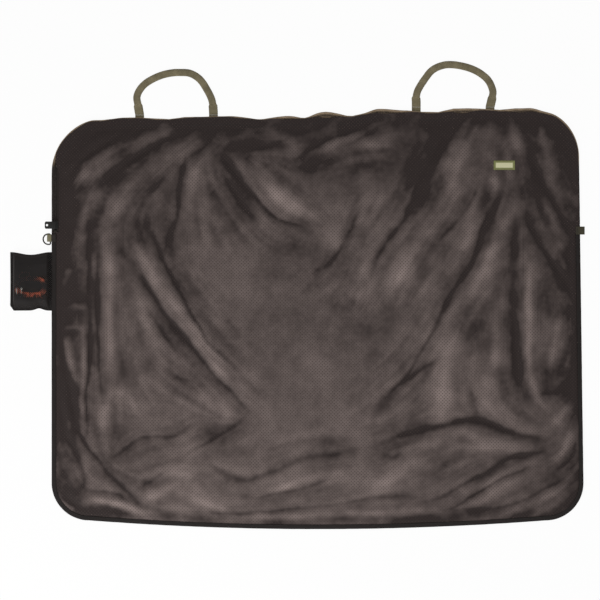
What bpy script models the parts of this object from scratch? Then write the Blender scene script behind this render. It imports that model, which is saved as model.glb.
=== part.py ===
"""Carp sack: a flat mesh sack with a zipped mouth, laid on its back.

The frame's origin is on the underside of the back panel. +X runs to the right of the sack,
+Y to its mouth and +Z up, away from the surface it lies on. Metres throughout.
"""

import math

import bmesh
import bpy
from mathutils import Matrix, Vector
from mathutils.kdtree import KDTree

# Clearance between neighbours that touch on the real sack
GAP = 0.0003
# Step that keeps the faces of joined shapes off one plane
JOIN_STEP = 0.0002

# Outline of the body, laid flat
LEFT_X = -0.596
RIGHT_X = 0.593
RIGHT_FLARE = 0.010
TOP_LEFT_Y = 0.4625
TOP_RIGHT_Y = 0.485
BOTTOM_Y = -0.445
BOTTOM_BOW = 0.0197
TOP_LEFT_RADIUS = 0.125
TOP_RIGHT_RADIUS = 0.110
BOTTOM_RADIUS = 0.085
LEAST_RADIUS = 0.012
# Waves of the top edge: share of the half width, and rise above the straight edge
TOP_WAVES = (
    (-0.32, -0.003),
    (-0.21, -0.010),
    (-0.10, -0.005),
    (0.02, 0.0),
    (0.18, -0.002),
    (0.24, 0.006),
    (0.35, 0.001),
)
CORNER_STEPS = 8
WAVE_STEPS = 3
BOTTOM_STEPS = 10

# Cloth, tape and webbing
FABRIC = 0.0012
TAPE = 0.0008
WEBBING = 0.0018
LOOP_WEBBING = 0.0012
CROWN_HEIGHT = 0.0188
SLOPE_FOOT = 0.026
SLOPE_MIDDLE = 0.045
SLOPE_SHOULDER = 0.090
FLAT_INSET = 0.110
FOLD_SHARE = 0.5
SHOULDER_SHARE = 0.9
BACK_LIFT_INSET = 0.045
BINDING_LEG = 0.010
BINDING_STEP = 0.0025

# Main folds of the laid front: height of each, and points along its crest
FOLD_HALF_WIDTH = 0.026
FOLD_SQUARE = 0.030
FOLD_FADE = 0.020
FOLD_FREE_MOUTH = 0.010
FOLD_MOUTH_FADE = 0.040
CREST_STEP = 0.010
FRONT_FOLDS = (
    (0.0050, ((-0.235, 0.368), (-0.325, 0.332), (-0.411, 0.287), (-0.456, 0.214))),
    (0.0055, ((-0.467, 0.176), (-0.462, 0.074), (-0.465, -0.038), (-0.469, -0.140))),
    (0.0065, ((-0.404, 0.178), (-0.347, 0.079), (-0.250, -0.050), (-0.180, -0.129))),
    (0.0050, ((-0.090, 0.309), (-0.036, 0.255), (0.050, 0.187))),
    (0.0055, ((0.320, 0.345), (0.284, 0.259), (0.217, 0.151), (0.135, 0.052))),
    (0.0055, ((0.438, 0.264), (0.406, 0.165), (0.352, 0.056), (0.307, -0.027), (0.280, -0.174))),
    (0.0060, ((0.478, 0.129), (0.478, -0.016), (0.492, -0.151))),
    (0.0050, ((0.415, -0.016), (0.393, -0.129), (0.402, -0.201))),
    (0.0060, ((0.081, -0.323), (0.217, -0.277), (0.336, -0.244), (0.478, -0.277))),
    (0.0045, ((-0.460, -0.192), (-0.352, -0.174), (-0.221, -0.185))),
    (0.0045, ((-0.352, -0.332), (-0.194, -0.314), (-0.059, -0.332))),
)

# Zip
FLAP_FOLD_Y = 0.233
ZIP_LEFT_END_Y = 0.2047
ZIP_RIGHT_END_Y = 0.2225
ZIP_CENTRE = 0.008
COIL_HALF_WIDTH = 0.0032
COIL_SPLIT = 0.0008
COIL_THICKNESS = 0.0022
STOP_LENGTH = 0.004
SLIDER_LENGTH = 0.018
SLIDER_PLATE = 0.0012
SLIDER_FLANGE = 0.0014
SLIDER_PARK_Y = 0.2205
SLIDER_DIVIDER_WIDTH = 0.0008
SLIDER_DIVIDER_LENGTH = 0.005
BAIL_HEIGHT = 0.003
BAIL_RADIUS = 0.0011
BAIL_POST = 0.0022
PULLER_EYE_RADIUS = 0.0025
PULLER_LENGTH = 0.023
PULLER_WIDTH = 0.012
PULLER_THICKNESS = 0.002
PULLER_HOLE_RADIUS = 0.0025
PULLER_HOLE_MARGIN = 0.005
RUNNING_GAP = 0.0004
COIL_SIDE_ROOM = 0.0014
CLOTH_ROOM = 0.0015

# Handles
LEFT_HANDLE_INSET = 0.2815
RIGHT_HANDLE_INSET = 0.2837
HANDLE_SPAN = 0.1665
HANDLE_RISE = 0.0955
HANDLE_WIDTH = 0.020
HANDLE_REACH = 0.004
FOOT_SEWN_LENGTH = 0.030
GRIP_WIDTH = 0.0165
GRIP_THICKNESS = 0.005
STRAP_EDGE_SHARE = 0.3
STRAP_STEP = 0.009
SEAM_SHARE = 0.23
SEAM_LENGTH_SHARE = 0.04
# Centre line of each handle: share of the span, and share of the rise
LEFT_HANDLE_SHAPE = (
    (-0.500, 0.0),
    (-0.512, 0.12),
    (-0.524, 0.25),
    (-0.537, 0.428),
    (-0.490, 0.61),
    (-0.401, 0.765),
    (-0.250, 0.905),
    (-0.103, 0.979),
    (0.041, 1.0),
    (0.190, 0.975),
    (0.322, 0.826),
    (0.421, 0.567),
    (0.472, 0.382),
    (0.490, 0.25),
    (0.497, 0.12),
    (0.500, 0.0),
)
RIGHT_HANDLE_SHAPE = (
    (-0.500, 0.0),
    (-0.500, 0.12),
    (-0.500, 0.245),
    (-0.470, 0.42),
    (-0.374, 0.682),
    (-0.285, 0.865),
    (-0.165, 0.970),
    (-0.026, 1.0),
    (0.165, 0.946),
    (0.332, 0.831),
    (0.469, 0.640),
    (0.535, 0.400),
    (0.530, 0.23),
    (0.515, 0.11),
    (0.500, 0.0),
)

# Side loops and D-ring
LOOP_WIDTH = 0.018
LOOP_REACH = 0.0105
LOOP_SETBACK = 0.0005
LEFT_LOOP_Y = 0.1890
RIGHT_LOOP_Y = 0.2085
RING_WIRE = 0.0028
RING_INNER_WIDTH = 0.0206
RING_DEPTH = 0.0165
RING_BAR_OUTSET = 0.0026
RING_CORNER = 0.003

# Label
LABEL_SIDE_INSET = 0.1696
LABEL_TOP_INSET = 0.130
LABEL_WIDTH = 0.0476
LABEL_HEIGHT = 0.0208
LABEL_THICKNESS = 0.0008

# Pouch
POUCH_WIDTH = 0.093
POUCH_BOTTOM_Y = 0.028
POUCH_TOP_Y = 0.160
POUCH_MARGIN = 0.006
POUCH_CROWN = 0.0193
POUCH_MOUTH_DIP = 0.006
POUCH_MOUTH_DROP = 0.45
POUCH_DROP_START = 0.8
POUCH_SEAM_SHARE = 0.05
POUCH_RISE_SHARE = 0.14
POUCH_SIDE_SHARE = 0.06
POUCH_ROWS = (0.0, POUCH_SEAM_SHARE, 0.08, 0.11, 0.15, 0.19, 0.5, POUCH_DROP_START, 0.87, 0.94, 1.0)
POUCH_CORNER_CUT = 0.011
POUCH_CUT_SHARE = 0.08
POUCH_NOTCH = 0.005
POUCH_NOTCH_PLACE = 0.70
POUCH_NOTCH_SPREAD = 0.12
ELASTIC_THICKNESS = 0.0012

# Cord and its hook
CORD_DIAMETER = 0.0025
HANK_RUN = 0.0375
HANK_INNER_RADIUS = 0.0075
HANK_PITCH = 0.0030
HANK_TURNS = 3
HANK_LAYERS = 4
HANK_INSET = 0.0468
HANK_RISE = 0.0532
LOOP_POINTS = 24
RUN_POINTS = 4
TAIL_STEP = 0.005
SAMPLE_SHARE = 0.7
# Free tail, from the hank's lower end
FREE_TAIL_OFFSETS = (
    (0.0085, -0.0008),
    (0.0130, -0.0065),
    (0.0110, -0.0140),
    (0.0020, -0.0190),
    (-0.0100, -0.0195),
)
# Tail to the hook, from the sleeve: x, y and share of the climb
HOOK_TAIL_OFFSETS = (
    (0.0185, 0.0025, 0.10),
    (0.0235, 0.0080, 0.30),
    (0.0190, 0.0145, 0.55),
    (0.0100, 0.0165, 0.78),
    (0.0025, 0.0120, 0.95),
    (0.0, 0.0065, 1.0),
)
SLEEVE_RADIUS = 0.0025
SLEEVE_LENGTH = 0.010
SLEEVE_INSET = 0.0727
SLEEVE_RISE = 0.0678
HOOK_WIRE = 0.0026
HOOK_HALF_WIDTH = 0.0055
HOOK_LENGTH = 0.0275
GATE_THICKNESS = 0.0010
RIVET_RADIUS = 0.0008
RIVET_HEAD_RADIUS = 0.0015
RIVET_HEAD_THICKNESS = 0.0004
LUG_RADIUS = 0.0021

# Heights worked out from the layers, from the floor up
TAPE_UNDER_Z = WEBBING + GAP
BACK_EDGE_Z = TAPE_UNDER_Z + TAPE + GAP
FRONT_EDGE_Z = BACK_EDGE_Z + FABRIC + GAP
BINDING_TOP_Z = FRONT_EDGE_Z + FABRIC + GAP
COIL_Z = BACK_EDGE_Z + SLIDER_PLATE + GAP
COIL_CENTRE_Z = COIL_Z + COIL_THICKNESS / 2
ZIP_TAPE_Z = COIL_CENTRE_Z - TAPE / 2
FLAP_EDGE_Z = ZIP_TAPE_Z + TAPE + GAP
SLIDER_TOP_Z = COIL_Z + COIL_THICKNESS + GAP + SLIDER_PLATE
SLIDER_HALF_WIDTH = COIL_HALF_WIDTH + COIL_SIDE_ROOM + SLIDER_FLANGE
CLOTH_INSET = ZIP_CENTRE + SLIDER_HALF_WIDTH + CLOTH_ROOM
EDGE_INSET = TAPE + RUNNING_GAP
CROWN_TOP_Z = CROWN_HEIGHT + FABRIC
FLAP_AXIS_Z = CROWN_TOP_Z
BAIL_Z = SLIDER_TOP_Z + BAIL_HEIGHT
BODY_MID_X = (LEFT_X + RIGHT_X) / 2
HALF_WIDTH = (RIGHT_X - LEFT_X) / 2
LABEL_X = RIGHT_X - LABEL_SIDE_INSET
LABEL_Y = TOP_RIGHT_Y - LABEL_TOP_INSET


# Scene and helpers

for old in list(bpy.data.objects):
    bpy.data.objects.remove(old, do_unlink=True)

parts = bpy.data.collections.new("carp_sack")
guides = bpy.data.collections.new("guides")
bpy.context.scene.collection.children.link(parts)
bpy.context.scene.collection.children.link(guides)


def material(name, colour, roughness, metallic=0.0):
    mat = bpy.data.materials.get(name)
    if mat is None:
        mat = bpy.data.materials.new(name)
        mat.use_nodes = True
        shader = mat.node_tree.nodes["Principled BSDF"]
        shader.inputs["Base Color"].default_value = (*colour, 1.0)
        shader.inputs["Roughness"].default_value = roughness
        shader.inputs["Metallic"].default_value = metallic
    return mat


MESH_CLOTH = ("mesh cloth", (0.035, 0.030, 0.028), 0.75)
DARK_TAPE = ("dark tape", (0.030, 0.027, 0.022), 0.8)
ZIP_TAPE = ("zip tape", (0.12, 0.095, 0.055), 0.8)
COIL = ("zip coil", (0.06, 0.05, 0.03), 0.45)
OLIVE_WEBBING = ("olive webbing", (0.22, 0.18, 0.10), 0.85)
DARK_PLASTIC = ("dark moulding", (0.03, 0.03, 0.026), 0.45)
STEEL = ("bright steel", (0.55, 0.55, 0.54), 0.3, 1.0)
LABEL_CLOTH = ("woven label", (0.55, 0.55, 0.30), 0.8)
CORD_RED = ("red cord", (0.60, 0.10, 0.045), 0.7)


def give_material(obj, look):
    obj.data.materials.append(material(*look))
    return obj


def add_object(name, data, look=None, guide=False):
    """A new object in the sack's collection, or a guide that only shapes others."""
    obj = bpy.data.objects.new(name, data)
    (guides if guide else parts).objects.link(obj)
    if guide:
        obj.hide_render = True
        obj.display_type = "WIRE"
    if look:
        give_material(obj, look)
    return obj


def poly_curve(name, points, cyclic=False, flat=False):
    curve = bpy.data.curves.new(name, "CURVE")
    curve.dimensions = "2D" if flat else "3D"
    spline = curve.splines.new("POLY")
    spline.points.add(len(points) - 1)
    for target, point in zip(spline.points, points):
        x, y, z = (*point, 0.0)[:3]
        target.co = (x, y, z, 1.0)
    spline.use_cyclic_u = cyclic
    return curve


def tube(name, points, diameter, look, sides=2):
    curve = poly_curve(name, points)
    curve.bevel_depth = diameter / 2
    curve.bevel_resolution = sides
    curve.use_fill_caps = True
    return add_object(name, curve, look)


def flat_plate(name, outline, thickness, look, holes=()):
    """A plate of an outline in its own XY plane, centred on its own z = 0."""
    curve = poly_curve(name, outline, cyclic=True, flat=True)
    for hole in holes:
        spline = curve.splines.new("POLY")
        spline.points.add(len(hole) - 1)
        for target, (x, y) in zip(spline.points, hole):
            target.co = (x, y, 0.0, 1.0)
        spline.use_cyclic_u = True
    curve.fill_mode = "BOTH"
    curve.extrude = thickness / 2
    return add_object(name, curve, look)


def to_mesh(obj):
    """The same object with its curve or modifiers turned into a welded mesh."""
    bpy.context.view_layer.update()
    graph = bpy.context.evaluated_depsgraph_get()
    mesh = bpy.data.meshes.new_from_object(obj.evaluated_get(graph))
    work = bmesh.new()
    work.from_mesh(mesh)
    bmesh.ops.remove_doubles(work, verts=work.verts, dist=0.00001)
    bmesh.ops.recalc_face_normals(work, faces=work.faces)
    work.to_mesh(mesh)
    work.free()
    name, matrix, home = obj.name, obj.matrix_world.copy(), obj.users_collection[0]
    bpy.data.objects.remove(obj, do_unlink=True)
    made = bpy.data.objects.new(name, mesh)
    mesh.name = name
    home.objects.link(made)
    made.matrix_world = matrix
    return made


def boolean(obj, other, operation):
    """Cut obj by other, or join other to it, with a modifier that keeps other as a guide."""
    for home in list(other.users_collection):
        home.objects.unlink(other)
    guides.objects.link(other)
    other.hide_render = True
    other.display_type = "WIRE"
    modifier = obj.modifiers.new(operation.lower(), "BOOLEAN")
    modifier.operation = operation
    modifier.object = other
    modifier.solver = "EXACT"
    return obj


def box(name, low, high, look=None, guide=False):
    mesh = bpy.data.meshes.new(name)
    work = bmesh.new()
    bmesh.ops.create_cube(work, size=1.0)
    size = Vector(high) - Vector(low)
    middle = (Vector(high) + Vector(low)) / 2
    bmesh.ops.scale(work, vec=size, verts=work.verts)
    bmesh.ops.translate(work, vec=middle, verts=work.verts)
    work.to_mesh(mesh)
    work.free()
    return add_object(name, mesh, look, guide)


def cylinder(name, start, end, radius, look=None, guide=False, sides=16):
    start, end = Vector(start), Vector(end)
    along = end - start
    mesh = bpy.data.meshes.new(name)
    work = bmesh.new()
    bmesh.ops.create_cone(
        work, cap_ends=True, segments=sides, radius1=radius, radius2=radius, depth=along.length
    )
    turn = Vector((0, 0, 1)).rotation_difference(along.normalized()).to_matrix().to_4x4()
    work.transform(Matrix.Translation((start + end) / 2) @ turn)
    work.to_mesh(mesh)
    work.free()
    return add_object(name, mesh, look, guide)


def set_origin(obj, place):
    """Move the object's origin onto its joint's axis and leave its shape where it is."""
    shift = Vector(place) - obj.location
    obj.data.transform(Matrix.Translation(-shift))
    obj.location = Vector(place)
    return obj


def smooth_points(points, step):
    """Points about a step apart on a smooth curve through the given ones."""
    points = [Vector(p) for p in points]
    ends = [points[0] * 2 - points[1], *points, points[-1] * 2 - points[-2]]
    out = [points[0]]
    for i in range(1, len(ends) - 2):
        a, b, c, d = ends[i - 1 : i + 3]
        count = max(1, round((c - b).length / step))
        for k in range(1, count + 1):
            t = k / count
            out.append(
                0.5
                * (
                    2 * b
                    + (c - a) * t
                    + (2 * a - 5 * b + 4 * c - d) * t**2
                    + (3 * b - a - 3 * c + d) * t**3
                )
            )
    return out


# Outline of the sack, at any distance in from its edge


def arc(centre, radius, start, end, steps):
    """Points of an arc, angles in degrees."""
    angles = [math.radians(start + (end - start) * i / steps) for i in range(steps + 1)]
    return [(centre[0] + radius * math.cos(a), centre[1] + radius * math.sin(a)) for a in angles]


def right_edge_x(y):
    """The right edge leans outwards towards the bottom."""
    top = TOP_RIGHT_Y - TOP_RIGHT_RADIUS
    low = BOTTOM_Y + BOTTOM_RADIUS
    return RIGHT_X + RIGHT_FLARE * (top - y) / (top - low)


def top_edge_y(x):
    """The wavy top edge between the two corners."""
    start = LEFT_X + TOP_LEFT_RADIUS
    end = RIGHT_X - TOP_RIGHT_RADIUS
    straight = TOP_LEFT_Y + (TOP_RIGHT_Y - TOP_LEFT_Y) * (x - start) / (end - start)
    knots = [(start, 0.0)]
    knots += [(BODY_MID_X + share * HALF_WIDTH, rise) for share, rise in TOP_WAVES]
    knots += [(end, 0.0)]
    for (x0, r0), (x1, r1) in zip(knots, knots[1:]):
        if x0 <= x <= x1:
            t = (x - x0) / (x1 - x0)
            return straight + r0 + (r1 - r0) * (3 * t * t - 2 * t**3)
    return straight


def corner_reach(radius, inset):
    """How far along a straight edge a corner starts, at a distance in from that edge."""
    return max(radius, inset + LEAST_RADIUS)


def corner(edge_x, edge_y, radius, inset, start):
    """A corner of the outline at a distance in from its edge, turning clockwise by 90 degrees
    from its start angle, and never sharper than the least radius."""
    bend = max(radius - inset, LEAST_RADIUS)
    middle = math.radians(start - 45)
    centre_x = edge_x - math.copysign(inset + bend, math.cos(middle))
    centre_y = edge_y - math.copysign(inset + bend, math.sin(middle))
    return arc((centre_x, centre_y), bend, start, start - 90, CORNER_STEPS)


def upper_rim(inset, left_y, right_y):
    """The zipped edge: up the left side, round the top, down the right side."""
    start = LEFT_X + corner_reach(TOP_LEFT_RADIUS, inset)
    end = RIGHT_X - corner_reach(TOP_RIGHT_RADIUS, inset)
    points = [(LEFT_X + inset, left_y)]
    points += corner(LEFT_X, TOP_LEFT_Y, TOP_LEFT_RADIUS, inset, 180)
    knots = [start, *(BODY_MID_X + share * HALF_WIDTH for share, _ in TOP_WAVES), end]
    for x0, x1 in zip(knots, knots[1:]):
        for k in range(1, WAVE_STEPS + 1):
            x = x0 + (x1 - x0) * k / WAVE_STEPS
            points.append((x, top_edge_y(x) - inset))
    points += corner(RIGHT_X, TOP_RIGHT_Y, TOP_RIGHT_RADIUS, inset, 90)[1:]
    points.append((right_edge_x(right_y) - inset, right_y))
    return points


def lower_rim(inset, left_y, right_y):
    """The closed edge: down the right side, along the bowed bottom, up the left side."""
    low_right = right_edge_x(BOTTOM_Y + BOTTOM_RADIUS)
    points = [(right_edge_x(right_y) - inset, right_y)]
    points += corner(low_right, BOTTOM_Y, BOTTOM_RADIUS, inset, 0)
    start = low_right - corner_reach(BOTTOM_RADIUS, inset)
    end = LEFT_X + corner_reach(BOTTOM_RADIUS, inset)
    for k in range(1, BOTTOM_STEPS):
        t = k / BOTTOM_STEPS
        x = start + (end - start) * t
        points.append((x, BOTTOM_Y - BOTTOM_BOW * 4 * t * (1 - t) + inset))
    points += corner(LEFT_X, BOTTOM_Y, BOTTOM_RADIUS, inset, -90)
    points.append((LEFT_X + inset, left_y))
    return points


def edge_strip(name, path, section, look):
    """A strip of one cross-section, given as (distance in from the edge, height)."""
    profile = poly_curve(name + "_section", section, cyclic=True, flat=True)
    guide = add_object(name + "_section", profile, guide=True)
    curve = poly_curve(name, path)
    curve.twist_mode = "Z_UP"
    curve.bevel_mode = "OBJECT"
    curve.bevel_object = guide
    curve.use_fill_caps = True
    return to_mesh(add_object(name, curve, look))


def rectangle(x0, x1, z0, z1):
    return [(x0, z0), (x1, z0), (x1, z1), (x0, z1)]


# Cloth panels: rings of (distance in from the edge, height)


def fold_rise(x, y, crests):
    """Height of the folds above the laid front, which is smooth beside the mouth's fold, the
    label and its own flat middle's edge."""
    rise = 0.0
    for height, crest in crests:
        nearest = min(math.hypot(x - p.x, y - p.y) for p in crest)
        rise = max(rise, height * math.exp(-((nearest / FOLD_HALF_WIDTH) ** 2)))
    inside = min(x - LEFT_X, RIGHT_X - x, top_edge_y(x) - y, y - BOTTOM_Y) - FLAT_INSET
    beside = max(abs(x - LABEL_X) - LABEL_WIDTH / 2, abs(y - LABEL_Y) - LABEL_HEIGHT / 2)
    mouth = (abs(y - FLAP_FOLD_Y) - FOLD_FREE_MOUTH) / FOLD_MOUTH_FADE
    share = min(inside / FOLD_FADE, beside / FOLD_FADE - 1, mouth)
    return rise * max(0.0, min(1.0, share))


def raise_folds(work, middle):
    """Cut the flat middle into squares and lift its folds, but not its outline."""
    reach = math.ceil(HALF_WIDTH / FOLD_SQUARE)
    cuts = [(Vector((1, 0, 0)), BODY_MID_X + k * FOLD_SQUARE) for k in range(-reach, reach + 1)]
    rows = [k * FOLD_SQUARE for k in range(-reach, reach + 1) if k]
    rows += [-FOLD_FREE_MOUTH, FOLD_FREE_MOUTH]
    cuts += [(Vector((0, 1, 0)), FLAP_FOLD_Y + row) for row in rows]
    faces = [middle]
    for direction, place in cuts:
        geom = {g: None for f in faces for g in (f, *f.edges, *f.verts)}
        made = bmesh.ops.bisect_plane(
            work, geom=list(geom), dist=GAP, plane_co=direction * place, plane_no=direction
        )
        faces = [g for g in made["geom"] if isinstance(g, bmesh.types.BMFace)]
    crests = []
    for height, points in FRONT_FOLDS:
        crest = smooth_points([(x, y, 0.0) for x, y in points], CREST_STEP)
        crests.append((height, crest))
    inner = set(faces)
    for vert in {v: None for f in faces for v in f.verts}:
        if inner.issuperset(vert.link_faces):
            vert.co.z += fold_rise(vert.co.x, vert.co.y, crests)
    bmesh.ops.triangulate(work, faces=faces)


def cloth_sheet(name, rings, look, room, keep=0):
    """A sheet whose underside follows the rings, flat inside the last one and cut back along the
    zip. keep is +1 for the part above the mouth fold, or -1 for the part below it: both have the
    front's folds."""
    work = bmesh.new()
    loops = []
    for inset, z in rings:
        outline = upper_rim(inset, ZIP_LEFT_END_Y, ZIP_RIGHT_END_Y)
        outline += lower_rim(inset, ZIP_LEFT_END_Y - GAP, ZIP_RIGHT_END_Y - GAP)
        loops.append([work.verts.new((x, y, z)) for x, y in outline])
    for outer, inner in zip(loops, loops[1:]):
        count = len(outer)
        for i in range(count):
            j = (i + 1) % count
            work.faces.new((outer[i], inner[i], inner[j], outer[j]))
    middle = work.faces.new(loops[-1])
    if keep:
        raise_folds(work, middle)
    bmesh.ops.recalc_face_normals(work, faces=work.faces)
    if max(work.faces, key=lambda f: f.calc_area()).normal.z < 0:
        bmesh.ops.reverse_faces(work, faces=work.faces)
    if keep:
        bmesh.ops.bisect_plane(
            work,
            geom=[*work.verts, *work.edges, *work.faces],
            plane_co=(0, FLAP_FOLD_Y + keep * GAP / 2, 0),
            plane_no=(0, -keep, 0),
            clear_outer=True,
        )
    sheet = thick_sheet(name, work, FABRIC, look)
    return boolean(sheet, room, "DIFFERENCE")


def thick_sheet(name, work, thickness, look):
    """A solid from an open sheet, thickened upwards along its normals."""
    mesh = bpy.data.meshes.new(name)
    work.to_mesh(mesh)
    work.free()
    sheet = add_object(name, mesh, look)
    solid = sheet.modifiers.new("thickness", "SOLIDIFY")
    solid.thickness = thickness
    solid.offset = 1.0
    return sheet


def crown_z(share):
    return FLAP_EDGE_Z + (CROWN_HEIGHT - FLAP_EDGE_Z) * share


def make_panels():
    path = upper_rim(0.0, ZIP_LEFT_END_Y, ZIP_RIGHT_END_Y)
    section = rectangle(-CLOTH_INSET, CLOTH_INSET, -CROWN_HEIGHT, CROWN_HEIGHT)
    room = edge_strip("zip_room", path, section, None)
    back = [(EDGE_INSET, BACK_EDGE_Z), (SLOPE_FOOT, BACK_EDGE_Z), (BACK_LIFT_INSET, 0.0)]
    cloth_sheet("back_panel", back, MESH_CLOTH, room)
    rings = [
        (EDGE_INSET, FRONT_EDGE_Z),
        (BINDING_LEG, FRONT_EDGE_Z),
        (BINDING_LEG + BINDING_STEP, FLAP_EDGE_Z),
        (SLOPE_FOOT, FLAP_EDGE_Z),
        (SLOPE_MIDDLE, crown_z(FOLD_SHARE)),
        (SLOPE_SHOULDER, crown_z(SHOULDER_SHARE)),
        (FLAT_INSET, CROWN_HEIGHT),
    ]
    cloth_sheet("front_panel", rings, MESH_CLOTH, room, keep=-1)
    flap = cloth_sheet("mouth_flap", rings, MESH_CLOTH, room, keep=1)
    set_origin(flap, (0, FLAP_FOLD_Y, FLAP_AXIS_Z))
    z = CROWN_TOP_Z + GAP
    low = (LABEL_X - LABEL_WIDTH / 2, LABEL_Y - LABEL_HEIGHT / 2, z)
    high = (LABEL_X + LABEL_WIDTH / 2, LABEL_Y + LABEL_HEIGHT / 2, z + LABEL_THICKNESS)
    set_origin(box("label_patch", low, high, LABEL_CLOTH), (0, FLAP_FOLD_Y, FLAP_AXIS_Z))


def make_edge_binding():
    top_leg = BINDING_LEG - TAPE
    section = [
        (BINDING_LEG, TAPE_UNDER_Z),
        (BINDING_LEG, TAPE_UNDER_Z + TAPE),
        (TAPE, TAPE_UNDER_Z + TAPE),
        (TAPE, BINDING_TOP_Z),
        (top_leg, BINDING_TOP_Z),
        (top_leg, BINDING_TOP_Z + TAPE),
        (0.0, BINDING_TOP_Z + TAPE),
        (0.0, TAPE_UNDER_Z),
    ]
    path = lower_rim(0.0, ZIP_LEFT_END_Y - GAP, ZIP_RIGHT_END_Y - GAP)
    edge_strip("edge_binding", path, section, DARK_TAPE)


# Zip


def make_zip():
    coil_top = COIL_Z + COIL_THICKNESS
    outer_leg = ZIP_CENTRE - COIL_HALF_WIDTH - GAP
    section = [
        (SLOPE_FOOT, TAPE_UNDER_Z),
        (SLOPE_FOOT, TAPE_UNDER_Z + TAPE),
        (TAPE, TAPE_UNDER_Z + TAPE),
        (TAPE, ZIP_TAPE_Z),
        (outer_leg, ZIP_TAPE_Z),
        (outer_leg, ZIP_TAPE_Z + TAPE),
        (0.0, ZIP_TAPE_Z + TAPE),
        (0.0, TAPE_UNDER_Z),
    ]
    whole = upper_rim(0.0, ZIP_LEFT_END_Y, ZIP_RIGHT_END_Y)
    edge_strip("zip_tape_outer", whole, section, ZIP_TAPE)

    outer_coil = rectangle(
        ZIP_CENTRE - COIL_HALF_WIDTH, ZIP_CENTRE - COIL_SPLIT, COIL_Z, coil_top
    )
    inner_coil = rectangle(
        ZIP_CENTRE + COIL_SPLIT, ZIP_CENTRE + COIL_HALF_WIDTH, COIL_Z, coil_top
    )
    inner_tape = rectangle(
        ZIP_CENTRE + COIL_HALF_WIDTH + GAP, SLOPE_FOOT, ZIP_TAPE_Z, ZIP_TAPE_Z + TAPE
    )
    left_end = ZIP_LEFT_END_Y + 2 * GAP + STOP_LENGTH
    right_end = ZIP_RIGHT_END_Y + 2 * GAP + STOP_LENGTH
    fold_low = FLAP_FOLD_Y - GAP / 2
    fold_high = FLAP_FOLD_Y + GAP / 2
    edge_strip("zip_coil_outer", upper_rim(0.0, left_end, right_end), outer_coil, COIL)
    moving = upper_rim(0.0, fold_high, fold_high)
    axis = (0, FLAP_FOLD_Y, FLAP_AXIS_Z)
    for name, inner, look in (("coil", inner_coil, COIL), ("tape", inner_tape, ZIP_TAPE)):
        strip = edge_strip(f"zip_{name}_inner", moving, inner, look)
        set_origin(strip, axis)
        start = left_end if name == "coil" else ZIP_LEFT_END_Y
        end = right_end if name == "coil" else ZIP_RIGHT_END_Y
        left_path = [(LEFT_X, start), (LEFT_X, fold_low)]
        right_path = [(right_edge_x(fold_low), fold_low), (right_edge_x(end), end)]
        edge_strip(f"zip_{name}_left_end", left_path, inner, look)
        edge_strip(f"zip_{name}_right_end", right_path, inner, look)
    for side, end_y in (("left", ZIP_LEFT_END_Y), ("right", ZIP_RIGHT_END_Y)):
        edge = LEFT_X if side == "left" else right_edge_x(end_y)
        sign = 1 if side == "left" else -1
        xs = sorted(edge + sign * (ZIP_CENTRE + k * COIL_HALF_WIDTH) for k in (-1, 1))
        low_y = end_y + GAP
        low = (xs[0], low_y, COIL_Z)
        high = (xs[1], low_y + STOP_LENGTH, coil_top)
        box(f"zip_stop_{side}", low, high, STEEL)


def channel(name, base_z, inner_z, tip_z):
    """Half of the slider's body: a plate with two flanges that stop at the zip's tape."""
    half, inner = SLIDER_HALF_WIDTH, SLIDER_HALF_WIDTH - SLIDER_FLANGE
    outline = [(-half, base_z), (half, base_z), (half, tip_z), (inner, tip_z)]
    outline += [(inner, inner_z), (-inner, inner_z), (-inner, tip_z), (-half, tip_z)]
    plate = flat_plate(name, outline, SLIDER_LENGTH, DARK_PLASTIC)
    plate.rotation_euler = (math.pi / 2, 0, 0)
    plate.location = (LEFT_X + ZIP_CENTRE, SLIDER_PARK_Y, 0)
    return to_mesh(plate)


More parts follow.
